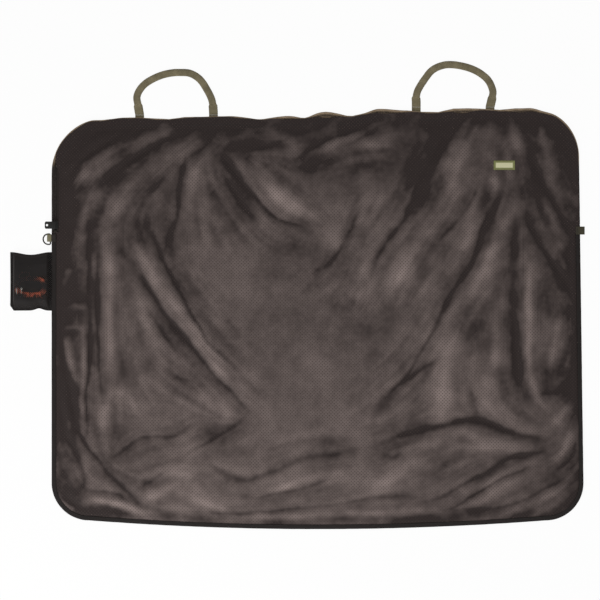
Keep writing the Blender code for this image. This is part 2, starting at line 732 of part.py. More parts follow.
def make_slider():
    """Two channelled halves, the divider between the rows of coils, and the bail on top."""
    x, y = LEFT_X + ZIP_CENTRE, SLIDER_PARK_Y
    half_y = SLIDER_LENGTH / 2
    low_z = COIL_Z - GAP
    high_z = COIL_Z + COIL_THICKNESS + GAP
    slot = TAPE / 2 + GAP
    body = channel("zip_slider", low_z - SLIDER_PLATE, low_z, COIL_CENTRE_Z - slot)
    upper = channel("slider_upper", SLIDER_TOP_Z, high_z, COIL_CENTRE_Z + slot)
    overlap = SLIDER_PLATE / 2
    divider_end = y + half_y - SLIDER_DIVIDER_WIDTH
    divider = box(
        "slider_divider",
        (x - SLIDER_DIVIDER_WIDTH / 2, divider_end - SLIDER_DIVIDER_LENGTH, low_z - overlap),
        (x + SLIDER_DIVIDER_WIDTH / 2, divider_end, high_z + overlap),
    )
    post_y = half_y - BAIL_POST
    bar_end = post_y + BAIL_POST / 2
    bar = cylinder(
        "slider_bar", (x, y - bar_end, BAIL_Z), (x, y + bar_end, BAIL_Z), BAIL_RADIUS, sides=12
    )
    for piece in (divider, upper, bar):
        boolean(body, piece, "UNION")
    for side in (-1, 1):
        centre = y + side * post_y
        low = (x - BAIL_RADIUS, centre - BAIL_POST / 2 + JOIN_STEP, SLIDER_TOP_Z - overlap)
        high = (x + BAIL_RADIUS, centre + BAIL_POST / 2 - JOIN_STEP, BAIL_Z)
        boolean(body, box("slider_post", low, high), "UNION")

    eye_half = post_y - BAIL_POST / 2 - RUNNING_GAP
    eye_start, eye_end = (x, y - eye_half, BAIL_Z), (x, y + eye_half, BAIL_Z)
    puller = cylinder("zip_puller", eye_start, eye_end, PULLER_EYE_RADIUS, DARK_PLASTIC)
    half_width = PULLER_WIDTH / 2
    corner = half_width / 2
    root = -PULLER_EYE_RADIUS / 2
    shoulder = root - corner
    shape = [(root, eye_half - JOIN_STEP), (root, JOIN_STEP - eye_half), (shoulder, -half_width)]
    shape += arc((corner - PULLER_LENGTH, corner - half_width), corner, 270, 180, 4)
    shape += arc((corner - PULLER_LENGTH, half_width - corner), corner, 180, 90, 4)
    shape += [(shoulder, half_width)]
    hole = arc((PULLER_HOLE_MARGIN - PULLER_LENGTH, 0.0), PULLER_HOLE_RADIUS, 0, 360, 16)[:-1]
    blade = flat_plate("puller_blade", shape, PULLER_THICKNESS, DARK_PLASTIC, [hole])
    blade.location = (x, y, BAIL_Z)
    boolean(puller, to_mesh(blade), "UNION")
    bore = cylinder(
        "puller_bore",
        (x, y - half_y, BAIL_Z),
        (x, y + half_y, BAIL_Z),
        BAIL_RADIUS + RUNNING_GAP,
        guide=True,
        sides=12,
    )
    boolean(puller, bore, "DIFFERENCE")
    set_origin(puller, (x, y, BAIL_Z))


# Handles


def strap(name, points, sections, look):
    """A strap lying on the floor: each point has its (width, thickness), edges rounded."""
    work = bmesh.new()
    rings = []
    for i, (point, (width, thickness)) in enumerate(zip(points, sections)):
        before = points[max(i - 1, 0)]
        after = points[min(i + 1, len(points) - 1)]
        along = (after - before).normalized()
        if i in (0, len(points) - 1):
            along = Vector((0, 1 if i == 0 else -1, 0))
        side = Vector((along.y, -along.x, 0))
        half, high = width / 2, thickness
        edge = thickness * STRAP_EDGE_SHARE
        shape = [
            (-half, edge),
            (-half + edge, 0.0),
            (half - edge, 0.0),
            (half, edge),
            (half, high - edge),
            (half - edge, high),
            (-half + edge, high),
            (-half, high - edge),
        ]
        rings.append([work.verts.new(point + side * s + Vector((0, 0, z))) for s, z in shape])
    for first, second in zip(rings, rings[1:]):
        for k in range(8):
            m = (k + 1) % 8
            work.faces.new((first[k], first[m], second[m], second[k]))
    work.faces.new(rings[0][::-1])
    work.faces.new(rings[-1])
    bmesh.ops.recalc_face_normals(work, faces=work.faces)
    mesh = bpy.data.meshes.new(name)
    work.to_mesh(mesh)
    work.free()
    return add_object(name, mesh, look)


def handle_axis_y(centre):
    ends = (centre - HANDLE_SPAN / 2, centre + HANDLE_SPAN / 2)
    return max(top_edge_y(x) for x in ends) + HANDLE_REACH


def make_handles():
    handles = (
        ("left", LEFT_X + LEFT_HANDLE_INSET, LEFT_HANDLE_SHAPE),
        ("right", RIGHT_X - RIGHT_HANDLE_INSET, RIGHT_HANDLE_SHAPE),
    )
    for side, centre, shape in handles:
        axis_y = handle_axis_y(centre)
        start_y = axis_y + GAP / 2
        route = [
            Vector((centre + across * HANDLE_SPAN, start_y + up * HANDLE_RISE, 0.0))
            for across, up in shape
        ]
        points = smooth_points(route, STRAP_STEP)
        sections = []
        for point in points:
            rise = (point.y - start_y) / HANDLE_RISE
            grip = min(max((rise - SEAM_SHARE) / SEAM_LENGTH_SHARE + 0.5, 0.0), 1.0)
            width = HANDLE_WIDTH + (GRIP_WIDTH - HANDLE_WIDTH) * grip
            sections.append((width, WEBBING + (GRIP_THICKNESS - WEBBING) * grip))
        handle = strap(f"handle_{side}", points, sections, OLIVE_WEBBING)
        set_origin(handle, (centre, axis_y, WEBBING))
        for end, sign in (("outer", -1), ("inner", 1)):
            if side == "right":
                end = {"outer": "inner", "inner": "outer"}[end]
            x = centre + sign * HANDLE_SPAN / 2
            low = (x - HANDLE_WIDTH / 2, top_edge_y(x) - FOOT_SEWN_LENGTH, 0.0)
            high = (x + HANDLE_WIDTH / 2, axis_y - GAP / 2, WEBBING)
            box(f"handle_{side}_foot_{end}", low, high, OLIVE_WEBBING)


# Side loops and D-ring


def loop_section(edge_x, sign):
    """A folded strip over the binding, seen along Y: (x, z) points of its closed outline."""
    low = TAPE_UNDER_Z - GAP
    high = BINDING_TOP_Z + TAPE + GAP
    middle = (low + high) / 2
    inner = (high - low) / 2
    outer = inner + LOOP_WEBBING
    bend_x = edge_x - sign * (LOOP_REACH - outer)
    leg_x = edge_x + sign * (BINDING_LEG - LOOP_SETBACK)
    turned = 270 - 180 * sign
    outside = arc((bend_x, middle), outer, 270, turned, CORNER_STEPS)
    inside = arc((bend_x, middle), inner, turned, 270, CORNER_STEPS)
    lower_leg = [(leg_x, low), (leg_x, low - LOOP_WEBBING)]
    upper_leg = [(leg_x, high + LOOP_WEBBING), (leg_x, high)]
    return [*lower_leg, *outside, *upper_leg, *inside]


def make_side_loops():
    places = (
        ("left", LEFT_X, LEFT_LOOP_Y, 1),
        ("right", right_edge_x(RIGHT_LOOP_Y), RIGHT_LOOP_Y, -1),
    )
    for side, edge_x, y, sign in places:
        outline = loop_section(edge_x, sign)
        loop = flat_plate(f"side_loop_{side}", outline, LOOP_WIDTH, OLIVE_WEBBING)
        loop.rotation_euler = (math.pi / 2, 0, 0)
        loop.location = (0, y, 0)

    half = (RING_INNER_WIDTH + RING_WIRE) / 2
    flank = half - RING_CORNER
    points = arc((-RING_CORNER, flank), RING_CORNER, 0, 90, 2)
    points += arc((half - RING_DEPTH, 0.0), half, 90, 270, CORNER_STEPS)
    points += arc((-RING_CORNER, -flank), RING_CORNER, 270, 360, 2)
    curve = poly_curve("d_ring", points, cyclic=True)
    curve.bevel_depth = RING_WIRE / 2
    curve.bevel_resolution = 2
    ring = add_object("d_ring", curve, STEEL)
    bar_z = (TAPE_UNDER_Z + BINDING_TOP_Z + TAPE) / 2
    ring.location = (LEFT_X - RING_BAR_OUTSET, LEFT_LOOP_Y, bar_z)


# Pouch


def pouch_floor_y(share):
    """The pouch's lower edge, from its outer corner (0) to the sack (1)."""
    cut = POUCH_CORNER_CUT * max(0.0, 1 - share / POUCH_CUT_SHARE)
    notch = POUCH_NOTCH * math.exp(-(((share - POUCH_NOTCH_PLACE) / POUCH_NOTCH_SPREAD) ** 2))
    return POUCH_BOTTOM_Y + cut + notch


def pouch_mouth_y(share):
    """The pouch's mouth hangs in a shallow curve between its corners."""
    return POUCH_TOP_Y - POUCH_MOUTH_DIP * math.sin(math.pi * share) ** 2


def pouch_height(inside, up):
    """Share of the pouch's full height: steep sides, rounded bottom, lower at the mouth."""
    side = min(1.0, max(0.0, min(inside, 1 - inside)) / POUCH_SIDE_SHARE)
    bottom = min(1.0, max(0.0, up - POUCH_SEAM_SHARE) / POUCH_RISE_SHARE)
    mouth = 1.0 - POUCH_MOUTH_DROP * max(0.0, up - POUCH_DROP_START) / (1 - POUCH_DROP_START)
    return math.sin(side * math.pi / 2) * math.sin(bottom * math.pi / 2) * mouth


def pouch_columns():
    """Shares of the pouch's width, close together on its steep sides."""
    margin = POUCH_MARGIN / POUCH_WIDTH
    inside = [0.0, 0.02, 0.04, 0.065, 0.15, 0.3, 0.45, 0.58, 0.66, 0.73, 0.80]
    inside += [0.87, 0.935, 0.96, 0.98, 1.0]
    return [0.0, margin / 2, *(margin + (1 - 2 * margin) * s for s in inside), 1 - margin / 2, 1.0]


def pouch_grid(edge_z, crown_z):
    """A sheet over the pouch's plan as a grid of vertices, from its lower edge to its mouth."""
    margin = POUCH_MARGIN / POUCH_WIDTH
    work = bmesh.new()
    grid = []
    for up in POUCH_ROWS:
        row = []
        for across in pouch_columns():
            x = LEFT_X - GAP - POUCH_WIDTH * (1 - across)
            low_y = pouch_floor_y(across)
            y = low_y + (pouch_mouth_y(across) - low_y) * up
            inside = (across - margin) / (1 - 2 * margin)
            z = edge_z + (crown_z - edge_z) * pouch_height(inside, up)
            row.append(work.verts.new((x, y, z)))
        grid.append(row)
    fill_grid(work, grid)
    return work, grid


def fill_grid(work, grid):
    for low_row, high_row in zip(grid, grid[1:]):
        for i in range(len(low_row) - 1):
            work.faces.new((low_row[i], low_row[i + 1], high_row[i + 1], high_row[i]))
    work.normal_update()


def pouch_axis():
    return (LEFT_X - GAP, (POUCH_BOTTOM_Y + POUCH_TOP_Y) / 2, 2 * FABRIC + 2 * GAP)


def make_pouch():
    """Two mesh sheets sewn at three edges, and the elastic over the front's mouth."""
    back, _ = pouch_grid(0.0, 0.0)
    set_origin(thick_sheet("pouch_back", back, FABRIC, MESH_CLOTH), pouch_axis())
    front, grid = pouch_grid(FABRIC + GAP, POUCH_CROWN)
    strip = bmesh.new()
    rows = []
    for row in grid[-2:]:
        inner = row[2:-2]
        rows.append([strip.verts.new(v.co + v.normal * (FABRIC + GAP)) for v in inner])
    fill_grid(strip, rows)
    set_origin(thick_sheet("pouch_front", front, FABRIC, MESH_CLOTH), pouch_axis())
    set_origin(thick_sheet("pouch_elastic", strip, ELASTIC_THICKNESS, DARK_TAPE), pouch_axis())


# Cord: hank, tails, crimped sleeve and snap hook


def hank_halves():
    """Each half turn as (radius, radius after it, height, height after it). The turns spiral in
    and out at a steady rate, and climb a layer along the run where the spiral reverses."""
    bend_share = 1 - RUN_POINTS / (LOOP_POINTS // 2)
    radius = HANK_INNER_RADIUS + HANK_TURNS * HANK_PITCH
    height = FABRIC + GAP + CORD_DIAMETER / 2
    halves = []
    for layer in range(HANK_LAYERS):
        step = (-1 if layer % 2 == 0 else 1) * HANK_PITCH / 2
        for _ in range(2 * HANK_TURNS):
            halves.append((radius, radius + step, height, height))
            radius += step
        if layer < HANK_LAYERS - 1:
            halves.append((radius, radius - step * bend_share, height, height + HANK_PITCH))
            radius -= step * bend_share
            height += HANK_PITCH
    return halves


def hank_points():
    half_run = HANK_RUN / 2
    per_half = LOOP_POINTS // 2
    bend_steps = per_half - RUN_POINTS
    points = []
    halves = hank_halves()
    for index, (radius0, radius1, low, high) in enumerate(halves):
        sign = 1 if index % 2 == 0 else -1
        for k in range(per_half):
            share = k / per_half
            if high > low:
                share = max(0.0, (k - RUN_POINTS) / bend_steps)
            radius = radius0 + (radius1 - radius0) * share
            if k < RUN_POINTS:
                along = k / RUN_POINTS
                place = (half_run - HANK_RUN * along, -radius, low + (high - low) * along)
            else:
                angle = math.pi * (k - RUN_POINTS) / bend_steps
                place = (-half_run - radius * math.sin(angle), -radius * math.cos(angle), high)
            points.append(Vector((sign * place[0], sign * place[1], place[2])))
    last = Vector((-half_run, halves[-1][1], halves[-1][3]))
    points += [last, last + Vector((CORD_DIAMETER, 0, 0))]
    centre = Vector((LEFT_X - HANK_INSET, POUCH_BOTTOM_Y + HANK_RISE, 0.0))
    return [p + centre for p in points]


def least_gap(points, diameter):
    """Least distance between the tube's surfaces, past four diameters along it."""
    step = diameter * SAMPLE_SHARE
    fine = []
    for a, b in zip(points, points[1:]):
        count = max(1, round((b - a).length / step))
        fine += [a.lerp(b, k / count) for k in range(count)]
    tree = KDTree(len(fine))
    for i, point in enumerate(fine):
        tree.insert(point, i)
    tree.balance()
    least = 1.0
    for i, point in enumerate(fine):
        for _, j, distance in tree.find_range(point, 2 * diameter):
            if abs(i - j) * step > 4 * diameter:
                least = min(least, distance)
    return least - diameter


def hook_height():
    """Height of the hook's and sleeve's middle: they lie on top of the hank."""
    return hank_halves()[-1][3] + CORD_DIAMETER / 2 + GAP + SLEEVE_RADIUS


def make_cord():
    points = hank_points()
    tube("cord_hank", points, CORD_DIAMETER, CORD_RED, sides=1)
    length = sum((b - a).length for a, b in zip(points, points[1:]))
    gap = least_gap(points, CORD_DIAMETER)
    print(f"hank: {length:.3f} m of cord, least gap to itself {gap * 1000:.2f} mm")

    first, last = points[0], points[-1]
    straight = Vector((CORD_DIAMETER, 0, 0))
    free = [first + Vector((GAP, 0, 0)), first + straight + Vector((GAP, 0, 0))]
    free += [first + Vector((*offset, 0)) for offset in FREE_TAIL_OFFSETS]
    tube("cord_tail_free", smooth_points(free, TAIL_STEP), CORD_DIAMETER, CORD_RED, sides=1)

    x, y, z = LEFT_X - SLEEVE_INSET, POUCH_BOTTOM_Y + SLEEVE_RISE, hook_height()
    top = Vector((x, y + GAP, z))
    rise = z - last.z
    route = [last + Vector((GAP, 0, 0)), last + straight + Vector((GAP, 0, 0))]
    for across, along, share in HOOK_TAIL_OFFSETS:
        route.append(Vector((x + across, y + along, last.z + rise * share)))
    route += [top + Vector((0, CORD_DIAMETER, 0)), top]
    tube("cord_tail_hook", smooth_points(route, TAIL_STEP), CORD_DIAMETER, CORD_RED, sides=1)
    low = (x, y - SLEEVE_LENGTH, z)
    cylinder("cord_sleeve", (x, y, z), low, SLEEVE_RADIUS, STEEL)
    make_hook(x, y - SLEEVE_LENGTH - GAP, z)


def make_hook(x, base_y, z):
    """A bent wire frame with a riveted spring tongue as its gate, nose towards -Y."""
    wire = HOOK_WIRE / 2
    half = HOOK_HALF_WIDTH
    arch_y = base_y - wire - half
    nose_y = base_y - HOOK_LENGTH + wire + half
    pivot = (x + half, arch_y - wire)
    route = [(pivot[0], pivot[1], z)]
    route += [(px, py, z) for px, py in arc((x, arch_y), half, 0, 180, 10)]
    route += [(px, py, z) for px, py in arc((x, nose_y), half, 180, 360, 10)]
    route += [(x + half, nose_y + wire, z)]
    frame = to_mesh(tube("hook_frame", route, HOOK_WIRE, STEEL))
    lug_top = z - GAP / 2
    lug = cylinder("hook_lug", (*pivot, z - wire), (*pivot, lug_top), LUG_RADIUS)
    room = box(
        "hook_tongue_room",
        (pivot[0] - LUG_RADIUS - GAP, pivot[1] - LUG_RADIUS - GAP, lug_top),
        (pivot[0] + LUG_RADIUS + GAP, pivot[1] + LUG_RADIUS + GAP, z + HOOK_WIRE),
        guide=True,
    )
    hole = cylinder(
        "rivet_hole",
        (*pivot, z - HOOK_WIRE),
        (*pivot, z + HOOK_WIRE),
        RIVET_RADIUS + GAP,
        guide=True,
        sides=12,
    )
    boolean(frame, lug, "UNION")
    boolean(frame, room, "DIFFERENCE")
    boolean(frame, hole, "DIFFERENCE")

    tip_y = nose_y + wire + GAP
    tongue = cylinder("hook_gate", (*pivot, z + GAP / 2), (*pivot, z + wire), LUG_RADIUS, STEEL)
    thin = GATE_THICKNESS / 2
    root_y = pivot[1] - LUG_RADIUS - GAP
    arm_low = (pivot[0] - thin, tip_y, z + GAP / 2 + JOIN_STEP)
    arm = box("gate_arm", arm_low, (pivot[0] + thin, pivot[1] - RIVET_RADIUS, z + wire - JOIN_STEP))
    blade_low = (pivot[0] - thin + JOIN_STEP / 2, tip_y + JOIN_STEP, z - wire)
    blade = box("gate_blade", blade_low, (pivot[0] + thin - JOIN_STEP / 2, root_y, z + wire / 2))
    for piece in (arm, blade):
        boolean(tongue, piece, "UNION")
    boolean(tongue, hole, "DIFFERENCE")
    set_origin(tongue, (*pivot, z))

    head = RIVET_HEAD_THICKNESS
    low, high = z - wire - GAP, z + wire + GAP
    ends = (*pivot, low - head / 2), (*pivot, high + head / 2)
    rivet = cylinder("hook_rivet", *ends, RIVET_RADIUS, STEEL)
    for start, end in ((low - head, low), (high, high + head)):
        cap = cylinder("rivet_head", (*pivot, start), (*pivot, end), RIVET_HEAD_RADIUS)
        boolean(rivet, cap, "UNION")


make_panels()
make_edge_binding()
make_zip()
make_slider()
make_handles()
make_side_loops()
make_pouch()
make_cord()
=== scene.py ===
import math

import bmesh
import bpy
import numpy as np
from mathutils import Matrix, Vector, noise


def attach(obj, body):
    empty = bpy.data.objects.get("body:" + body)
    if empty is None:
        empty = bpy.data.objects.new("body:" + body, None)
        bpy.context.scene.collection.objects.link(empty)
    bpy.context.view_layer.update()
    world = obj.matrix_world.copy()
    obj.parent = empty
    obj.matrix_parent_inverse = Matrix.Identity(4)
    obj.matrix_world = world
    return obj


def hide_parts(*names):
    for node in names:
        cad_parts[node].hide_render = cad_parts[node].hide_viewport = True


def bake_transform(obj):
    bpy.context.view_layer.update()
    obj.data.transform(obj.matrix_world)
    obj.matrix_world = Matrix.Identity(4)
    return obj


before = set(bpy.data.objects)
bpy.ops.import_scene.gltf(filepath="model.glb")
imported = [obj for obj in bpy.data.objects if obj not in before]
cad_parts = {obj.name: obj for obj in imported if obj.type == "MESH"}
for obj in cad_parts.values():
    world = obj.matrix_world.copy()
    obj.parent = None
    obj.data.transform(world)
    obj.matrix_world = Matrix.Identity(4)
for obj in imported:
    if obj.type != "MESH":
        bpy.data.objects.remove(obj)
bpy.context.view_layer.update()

GAP = 0.0003

# Outline of the sack, laid flat
LEFT_X = -0.596
RIGHT_X = 0.593
RIGHT_FLARE = 0.010
TOP_LEFT_Y = 0.4625
TOP_RIGHT_Y = 0.485
BOTTOM_Y = -0.445
BOTTOM_BOW = 0.0197
TOP_LEFT_RADIUS = 0.125
TOP_RIGHT_RADIUS = 0.110
BOTTOM_RADIUS = 0.085
# Long waves of the top edge: share of the half width from the middle, rise in m
TOP_WAVES = (
    (-0.32, -0.003), (-0.21, -0.010), (-0.10, -0.005), (0.02, 0.0),
    (0.18, -0.002), (0.24, 0.006), (0.35, 0.001),
)
# Where the sewn rim scallops: place across the picture, half width, drop in mm
RIM_DROPS = (
    (103, 9, 4.5), (164, 12, 5.5), (222, 8, -1.2), (260, 7, 1.2), (305, 9, 8.0), (326, 8, -2.5),
    (350, 11, 7.0), (432, 13, 6.5), (461, 9, -4.5), (502, 9, 2.8), (543, 9, 3.5),
)
# Where the zip shows past the cloth: place across the picture, half width, depth in mm
BARE_ZIP = (
    (80, 22, 1.4), (160, 22, 1.0), (236, 9, 1.5), (286, 10, 7.0), (327, 13, 12.0),
    (386, 18, 9.0), (426, 10, 1.5), (462, 15, 10.0), (522, 22, 8.0), (560, 14, 2.4),
)
BODY_MID_X = (LEFT_X + RIGHT_X) / 2
HALF_WIDTH = (RIGHT_X - LEFT_X) / 2
FOLD_Y = 0.233
ZIP_LEFT_END_Y = 0.2047
ZIP_RIGHT_END_Y = 0.2225

# Heights of the layers at the edge, from the floor up
FABRIC = 0.0012
TAPE = 0.0008
TAPE_UNDER_Z = 0.0021
BINDING_TOP_Z = 0.0062
BINDING_LEG = 0.010
ZIP_CENTRE = 0.008
COIL_Z = 0.0047
COIL_TOP_Z = 0.0069
ZIP_TAPE_Z = 0.0054
SLOPE_FOOT = 0.026

# The view: straight down from high above the middle of the picture
VIEW_WIDTH = 1.3536
VIEW_CENTRE = (-0.0361, 0.0519)
VIEW_HEIGHT = 7.0
SENSOR = 36.0
PIXEL = VIEW_WIDTH / 600


def seen(x, y):
    """The place on the sack of a point in the picture, counted from its top left corner."""
    return (VIEW_CENTRE[0] + (x - 300) * PIXEL, VIEW_CENTRE[1] - (y - 300) * PIXEL)


camera_data = bpy.data.cameras.new("view_from_above")
camera_data.lens = SENSOR * VIEW_HEIGHT / VIEW_WIDTH
camera_data.sensor_width = SENSOR
camera = bpy.data.objects.new("view_from_above", camera_data)
camera.location = (*VIEW_CENTRE, VIEW_HEIGHT)
bpy.context.scene.collection.objects.link(camera)
bpy.context.scene.camera = camera


# Small helpers


def rgb(code):
    """A colour written as sRGB hex, as the linear values that shaders take."""
    out = []
    for k in (1, 3, 5):
        c = int(code[k : k + 2], 16) / 255
        out.append(c / 12.92 if c <= 0.04045 else ((c + 0.055) / 1.055) ** 2.4)
    return (*out, 1.0)


def add(tree, kind, *inputs, out=0, **settings):
    """A node with its settings, and its output to link on, or the node where out is None.
    Inputs are values or outputs in the order of the sockets, or (socket's name, value)."""
    made = tree.nodes.new("ShaderNode" + kind)
    for name, value in settings.items():
        setattr(made, name, value)
    for socket, value in enumerate(inputs):
        if isinstance(value, tuple) and isinstance(value[0], str):
            socket, value = value
        if isinstance(value, bpy.types.NodeSocket):
            tree.links.new(value, made.inputs[socket])
        else:
            made.inputs[socket].default_value = value
    return made if out is None else made.outputs[out]


def material(name, **sockets):
    """A new material, with constants set on its shader's own sockets."""
    mat = bpy.data.materials.new(name)
    mat.use_nodes = True
    shader = mat.node_tree.nodes["Principled BSDF"]
    for socket, value in sockets.items():
        shader.inputs[socket.replace("_", " ")].default_value = value
    return mat, mat.node_tree, shader


def deselect():
    for obj in bpy.context.selected_objects:
        obj.select_set(False)


def activate(obj):
    deselect()
    obj.select_set(True)
    bpy.context.view_layer.objects.active = obj


def modified(obj, kind, **settings):
    """The object with a modifier of this kind applied."""
    modifier = obj.modifiers.new(kind.lower(), kind)
    for name, value in settings.items():
        setattr(modifier, name, value)
    activate(obj)
    bpy.ops.object.modifier_apply(modifier=modifier.name)
    return obj


def rounded(obj, width, angle):
    """The object with its edges rounded where its faces turn by more than an angle."""
    limit = math.radians(angle)
    sharp = {"limit_method": "ANGLE", "angle_limit": limit}
    return modified(obj, "BEVEL", width=width, segments=2, **sharp)


def thickened(obj, thickness, offset):
    """The sheet as a solid: offset 0 is to both sides, and -1 is below it."""
    return modified(obj, "SOLIDIFY", thickness=thickness, offset=offset)


def drop_uvs(mesh):
    for layer in list(mesh.uv_layers):
        mesh.uv_layers.remove(layer)


def mesh_object(name, verts, faces, uvs=None, uv_name="weave"):
    """A mesh from points and faces. uvs gives each vertex its place on the cloth."""
    mesh = bpy.data.meshes.new(name)
    mesh.from_pydata([tuple(map(float, v)) for v in verts], [], faces)
    mesh.update()
    if uvs is not None:
        layer = mesh.uv_layers.new(name=uv_name)
        loops = np.zeros(len(mesh.loops), dtype=np.int64)
        mesh.loops.foreach_get("vertex_index", loops)
        layer.data.foreach_set("uv", np.asarray(uvs, float)[loops].ravel())
    obj = bpy.data.objects.new(name, mesh)
    bpy.context.scene.collection.objects.link(obj)
    return obj


def set_tone(obj, values):
    """The cloth's painted light and shade at each of its points, and how tight it is there."""
    painted_light_and_tightness = obj.data.attributes.new("painted_light_and_tightness", "FLOAT", "POINT")
    painted_light_and_tightness.data.foreach_set("value", np.array(values, dtype=np.float32))


def quads(rows, columns):
    """Faces of a grid of rows by columns, its points numbered row by row."""
    faces = []
    for r in range(rows):
        for c in range(columns):
            k = r * (columns + 1) + c
            faces.append((k, k + 1, k + columns + 2, k + columns + 1))
    return faces


def tube(name, rings, uvs, closed=False):
    """A tube through rings of points, capped where it isn't closed, faces outward."""
    count, around = len(rings), len(rings[0])
    faces = []
    for i in range(count if closed else count - 1):
        a, b = i * around, (i + 1) % count * around
        for k in range(around):
            m = (k + 1) % around
            faces.append((a + k, a + m, b + m, b + k))
    if not closed:
        faces.append(tuple(range(around)))
        faces.append(tuple((count - 1) * around + k for k in reversed(range(around))))
    obj = mesh_object(name, [point for ring in rings for point in ring], faces, uvs)
    work = bmesh.new()
    work.from_mesh(obj.data)
    bmesh.ops.recalc_face_normals(work, faces=work.faces)
    work.to_mesh(obj.data)
    work.free()
    return obj


def finish_piece(obj, mat, body, *nodes, slot=None, smooth=None):
    """Finish, body and stand-in of a piece, in that order."""
    obj.data.materials.clear()
    obj.data.materials.append(mat)
    if smooth is not None:
        activate(obj)
        bpy.ops.object.shade_smooth_by_angle(angle=math.radians(smooth))
    if body:
        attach(obj, body)
    if nodes:
        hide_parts(*nodes)
    return obj


def arc(centre, radius, start, end, steps):
    angles = [math.radians(start + (end - start) * i / steps) for i in range(steps + 1)]
    return [(centre[0] + radius * math.cos(a), centre[1] + radius * math.sin(a)) for a in angles]


def smooth_points(points, step):
    """Points about a step apart on a smooth curve through the given ones."""
    points = [Vector(p) for p in points]
    ends = [points[0] * 2 - points[1], *points, points[-1] * 2 - points[-2]]
    out = [points[0]]
    for i in range(1, len(ends) - 2):
        a, b, c, d = ends[i - 1 : i + 3]
        count = max(1, round((c - b).length / step))
        for k in range(1, count + 1):
            t = k / count
            square = (2 * a - 5 * b + 4 * c - d) * t**2
            cube = (3 * b - a - 3 * c + d) * t**3
            out.append(0.5 * (2 * b + (c - a) * t + square + cube))
    return out


def even_path(points, step):
    """The same path with its points a step apart."""
    out = [Vector(points[0])]
    for a, b in zip(points, points[1:]):
        a, b = Vector(a), Vector(b)
        count = max(1, round((b - a).length / step))
        out += [a.lerp(b, k / count) for k in range(1, count + 1)]
    return out


def heading(points, i):
    """Unit vector along a path at its point i."""
    return (points[min(i + 1, len(points) - 1)] - points[max(i - 1, 0)]).normalized()


def inward(points):
    """Unit vectors to the right of the path, which is the inside of the sack's outline."""
    along = [heading(points, i) for i in range(len(points))]
    return [Vector((a.y, -a.x)) for a in along]


# Outline of the sack

CORNER_STEPS = 32
WAVE_STEPS = 8
BOTTOM_STEPS = 60
TOP_START = LEFT_X + TOP_LEFT_RADIUS
TOP_END = RIGHT_X - TOP_RIGHT_RADIUS
TOP_KNOTS = [
    (TOP_START, 0.0), *((BODY_MID_X + share * HALF_WIDTH, rise) for share, rise in TOP_WAVES),
    (TOP_END, 0.0),
]


def right_edge_x(y):
    top = TOP_RIGHT_Y - TOP_RIGHT_RADIUS
    low = BOTTOM_Y + BOTTOM_RADIUS
    return RIGHT_X + RIGHT_FLARE * (top - y) / (top - low)


def top_edge_y(x):
    run = TOP_END - TOP_START
    straight = TOP_LEFT_Y + (TOP_RIGHT_Y - TOP_LEFT_Y) * (x - TOP_START) / run
    for (x0, r0), (x1, r1) in zip(TOP_KNOTS, TOP_KNOTS[1:]):
        if x0 <= x <= x1:
            t = (x - x0) / (x1 - x0)
            return straight + r0 + (r1 - r0) * (3 * t * t - 2 * t**3)
    return straight


def rim_drop(x, y):
    """How far the rim scallops down from its smooth line, only along the top."""
    drop = 0.0
    for pixel, half_width, depth in RIM_DROPS:
        centre = seen(pixel, 0)[0]
        drop += depth * 0.001 * math.exp(-(((x - centre) / (half_width * PIXEL)) ** 2))
    return drop * min(1.0, max(0.0, (y - 0.36) / 0.06))


def upper_rim(left_y, right_y):
    """The zipped edge: up the left side, round the top, down the right side."""
    points = [(LEFT_X, left_y)]
    centre = (TOP_START, TOP_LEFT_Y - TOP_LEFT_RADIUS)
    points += arc(centre, TOP_LEFT_RADIUS, 180, 90, CORNER_STEPS)
    for (x0, _), (x1, _) in zip(TOP_KNOTS, TOP_KNOTS[1:]):
        for k in range(1, WAVE_STEPS + 1):
            x = x0 + (x1 - x0) * k / WAVE_STEPS
            points.append((x, top_edge_y(x)))
    centre = (TOP_END, TOP_RIGHT_Y - TOP_RIGHT_RADIUS)
    points += arc(centre, TOP_RIGHT_RADIUS, 90, 0, CORNER_STEPS)[1:]
    points.append((right_edge_x(right_y), right_y))
    return [(x, y - rim_drop(x, y)) for x, y in points]


def lower_rim(left_y, right_y):
    """The closed edge: down the right side, along the bowed bottom, up the left side."""
    start = right_edge_x(BOTTOM_Y + BOTTOM_RADIUS) - BOTTOM_RADIUS
    end = LEFT_X + BOTTOM_RADIUS
    centre_y = BOTTOM_Y + BOTTOM_RADIUS
    points = [(right_edge_x(right_y), right_y)]
    points += arc((start, centre_y), BOTTOM_RADIUS, 0, -90, CORNER_STEPS)
    for k in range(1, BOTTOM_STEPS):
        t = k / BOTTOM_STEPS
        points.append((start + (end - start) * t, BOTTOM_Y - BOTTOM_BOW * 4 * t * (1 - t)))
    points += arc((end, centre_y), BOTTOM_RADIUS, -90, -180, CORNER_STEPS)
    points.append((LEFT_X, left_y))
    return points


def band(name, path, section, ripple=0.0):
    """A sewn tape along an edge: its section is (distance in from the edge, height) points."""
    rings, uvs = [], []
    along = 0.0
    around = [0.0]
    for (d0, z0), (d1, z1) in zip(section, section[1:]):
        around.append(around[-1] + math.hypot(d1 - d0, z1 - z0))
    for i, (point, normal) in enumerate(zip(path, inward(path))):
        along += (point - path[i - 1]).length if i else 0.0
        wave = ripple * noise.noise(Vector((along * 60, 3.1, 0.7)))
        places = [point + normal * (inset + wave) for inset, _ in section]
        rings.append([(p.x, p.y, z + wave * 0.6) for p, (_, z) in zip(places, section)])
        uvs += [(along, a) for a in around]
    return tube(name, rings, uvs)


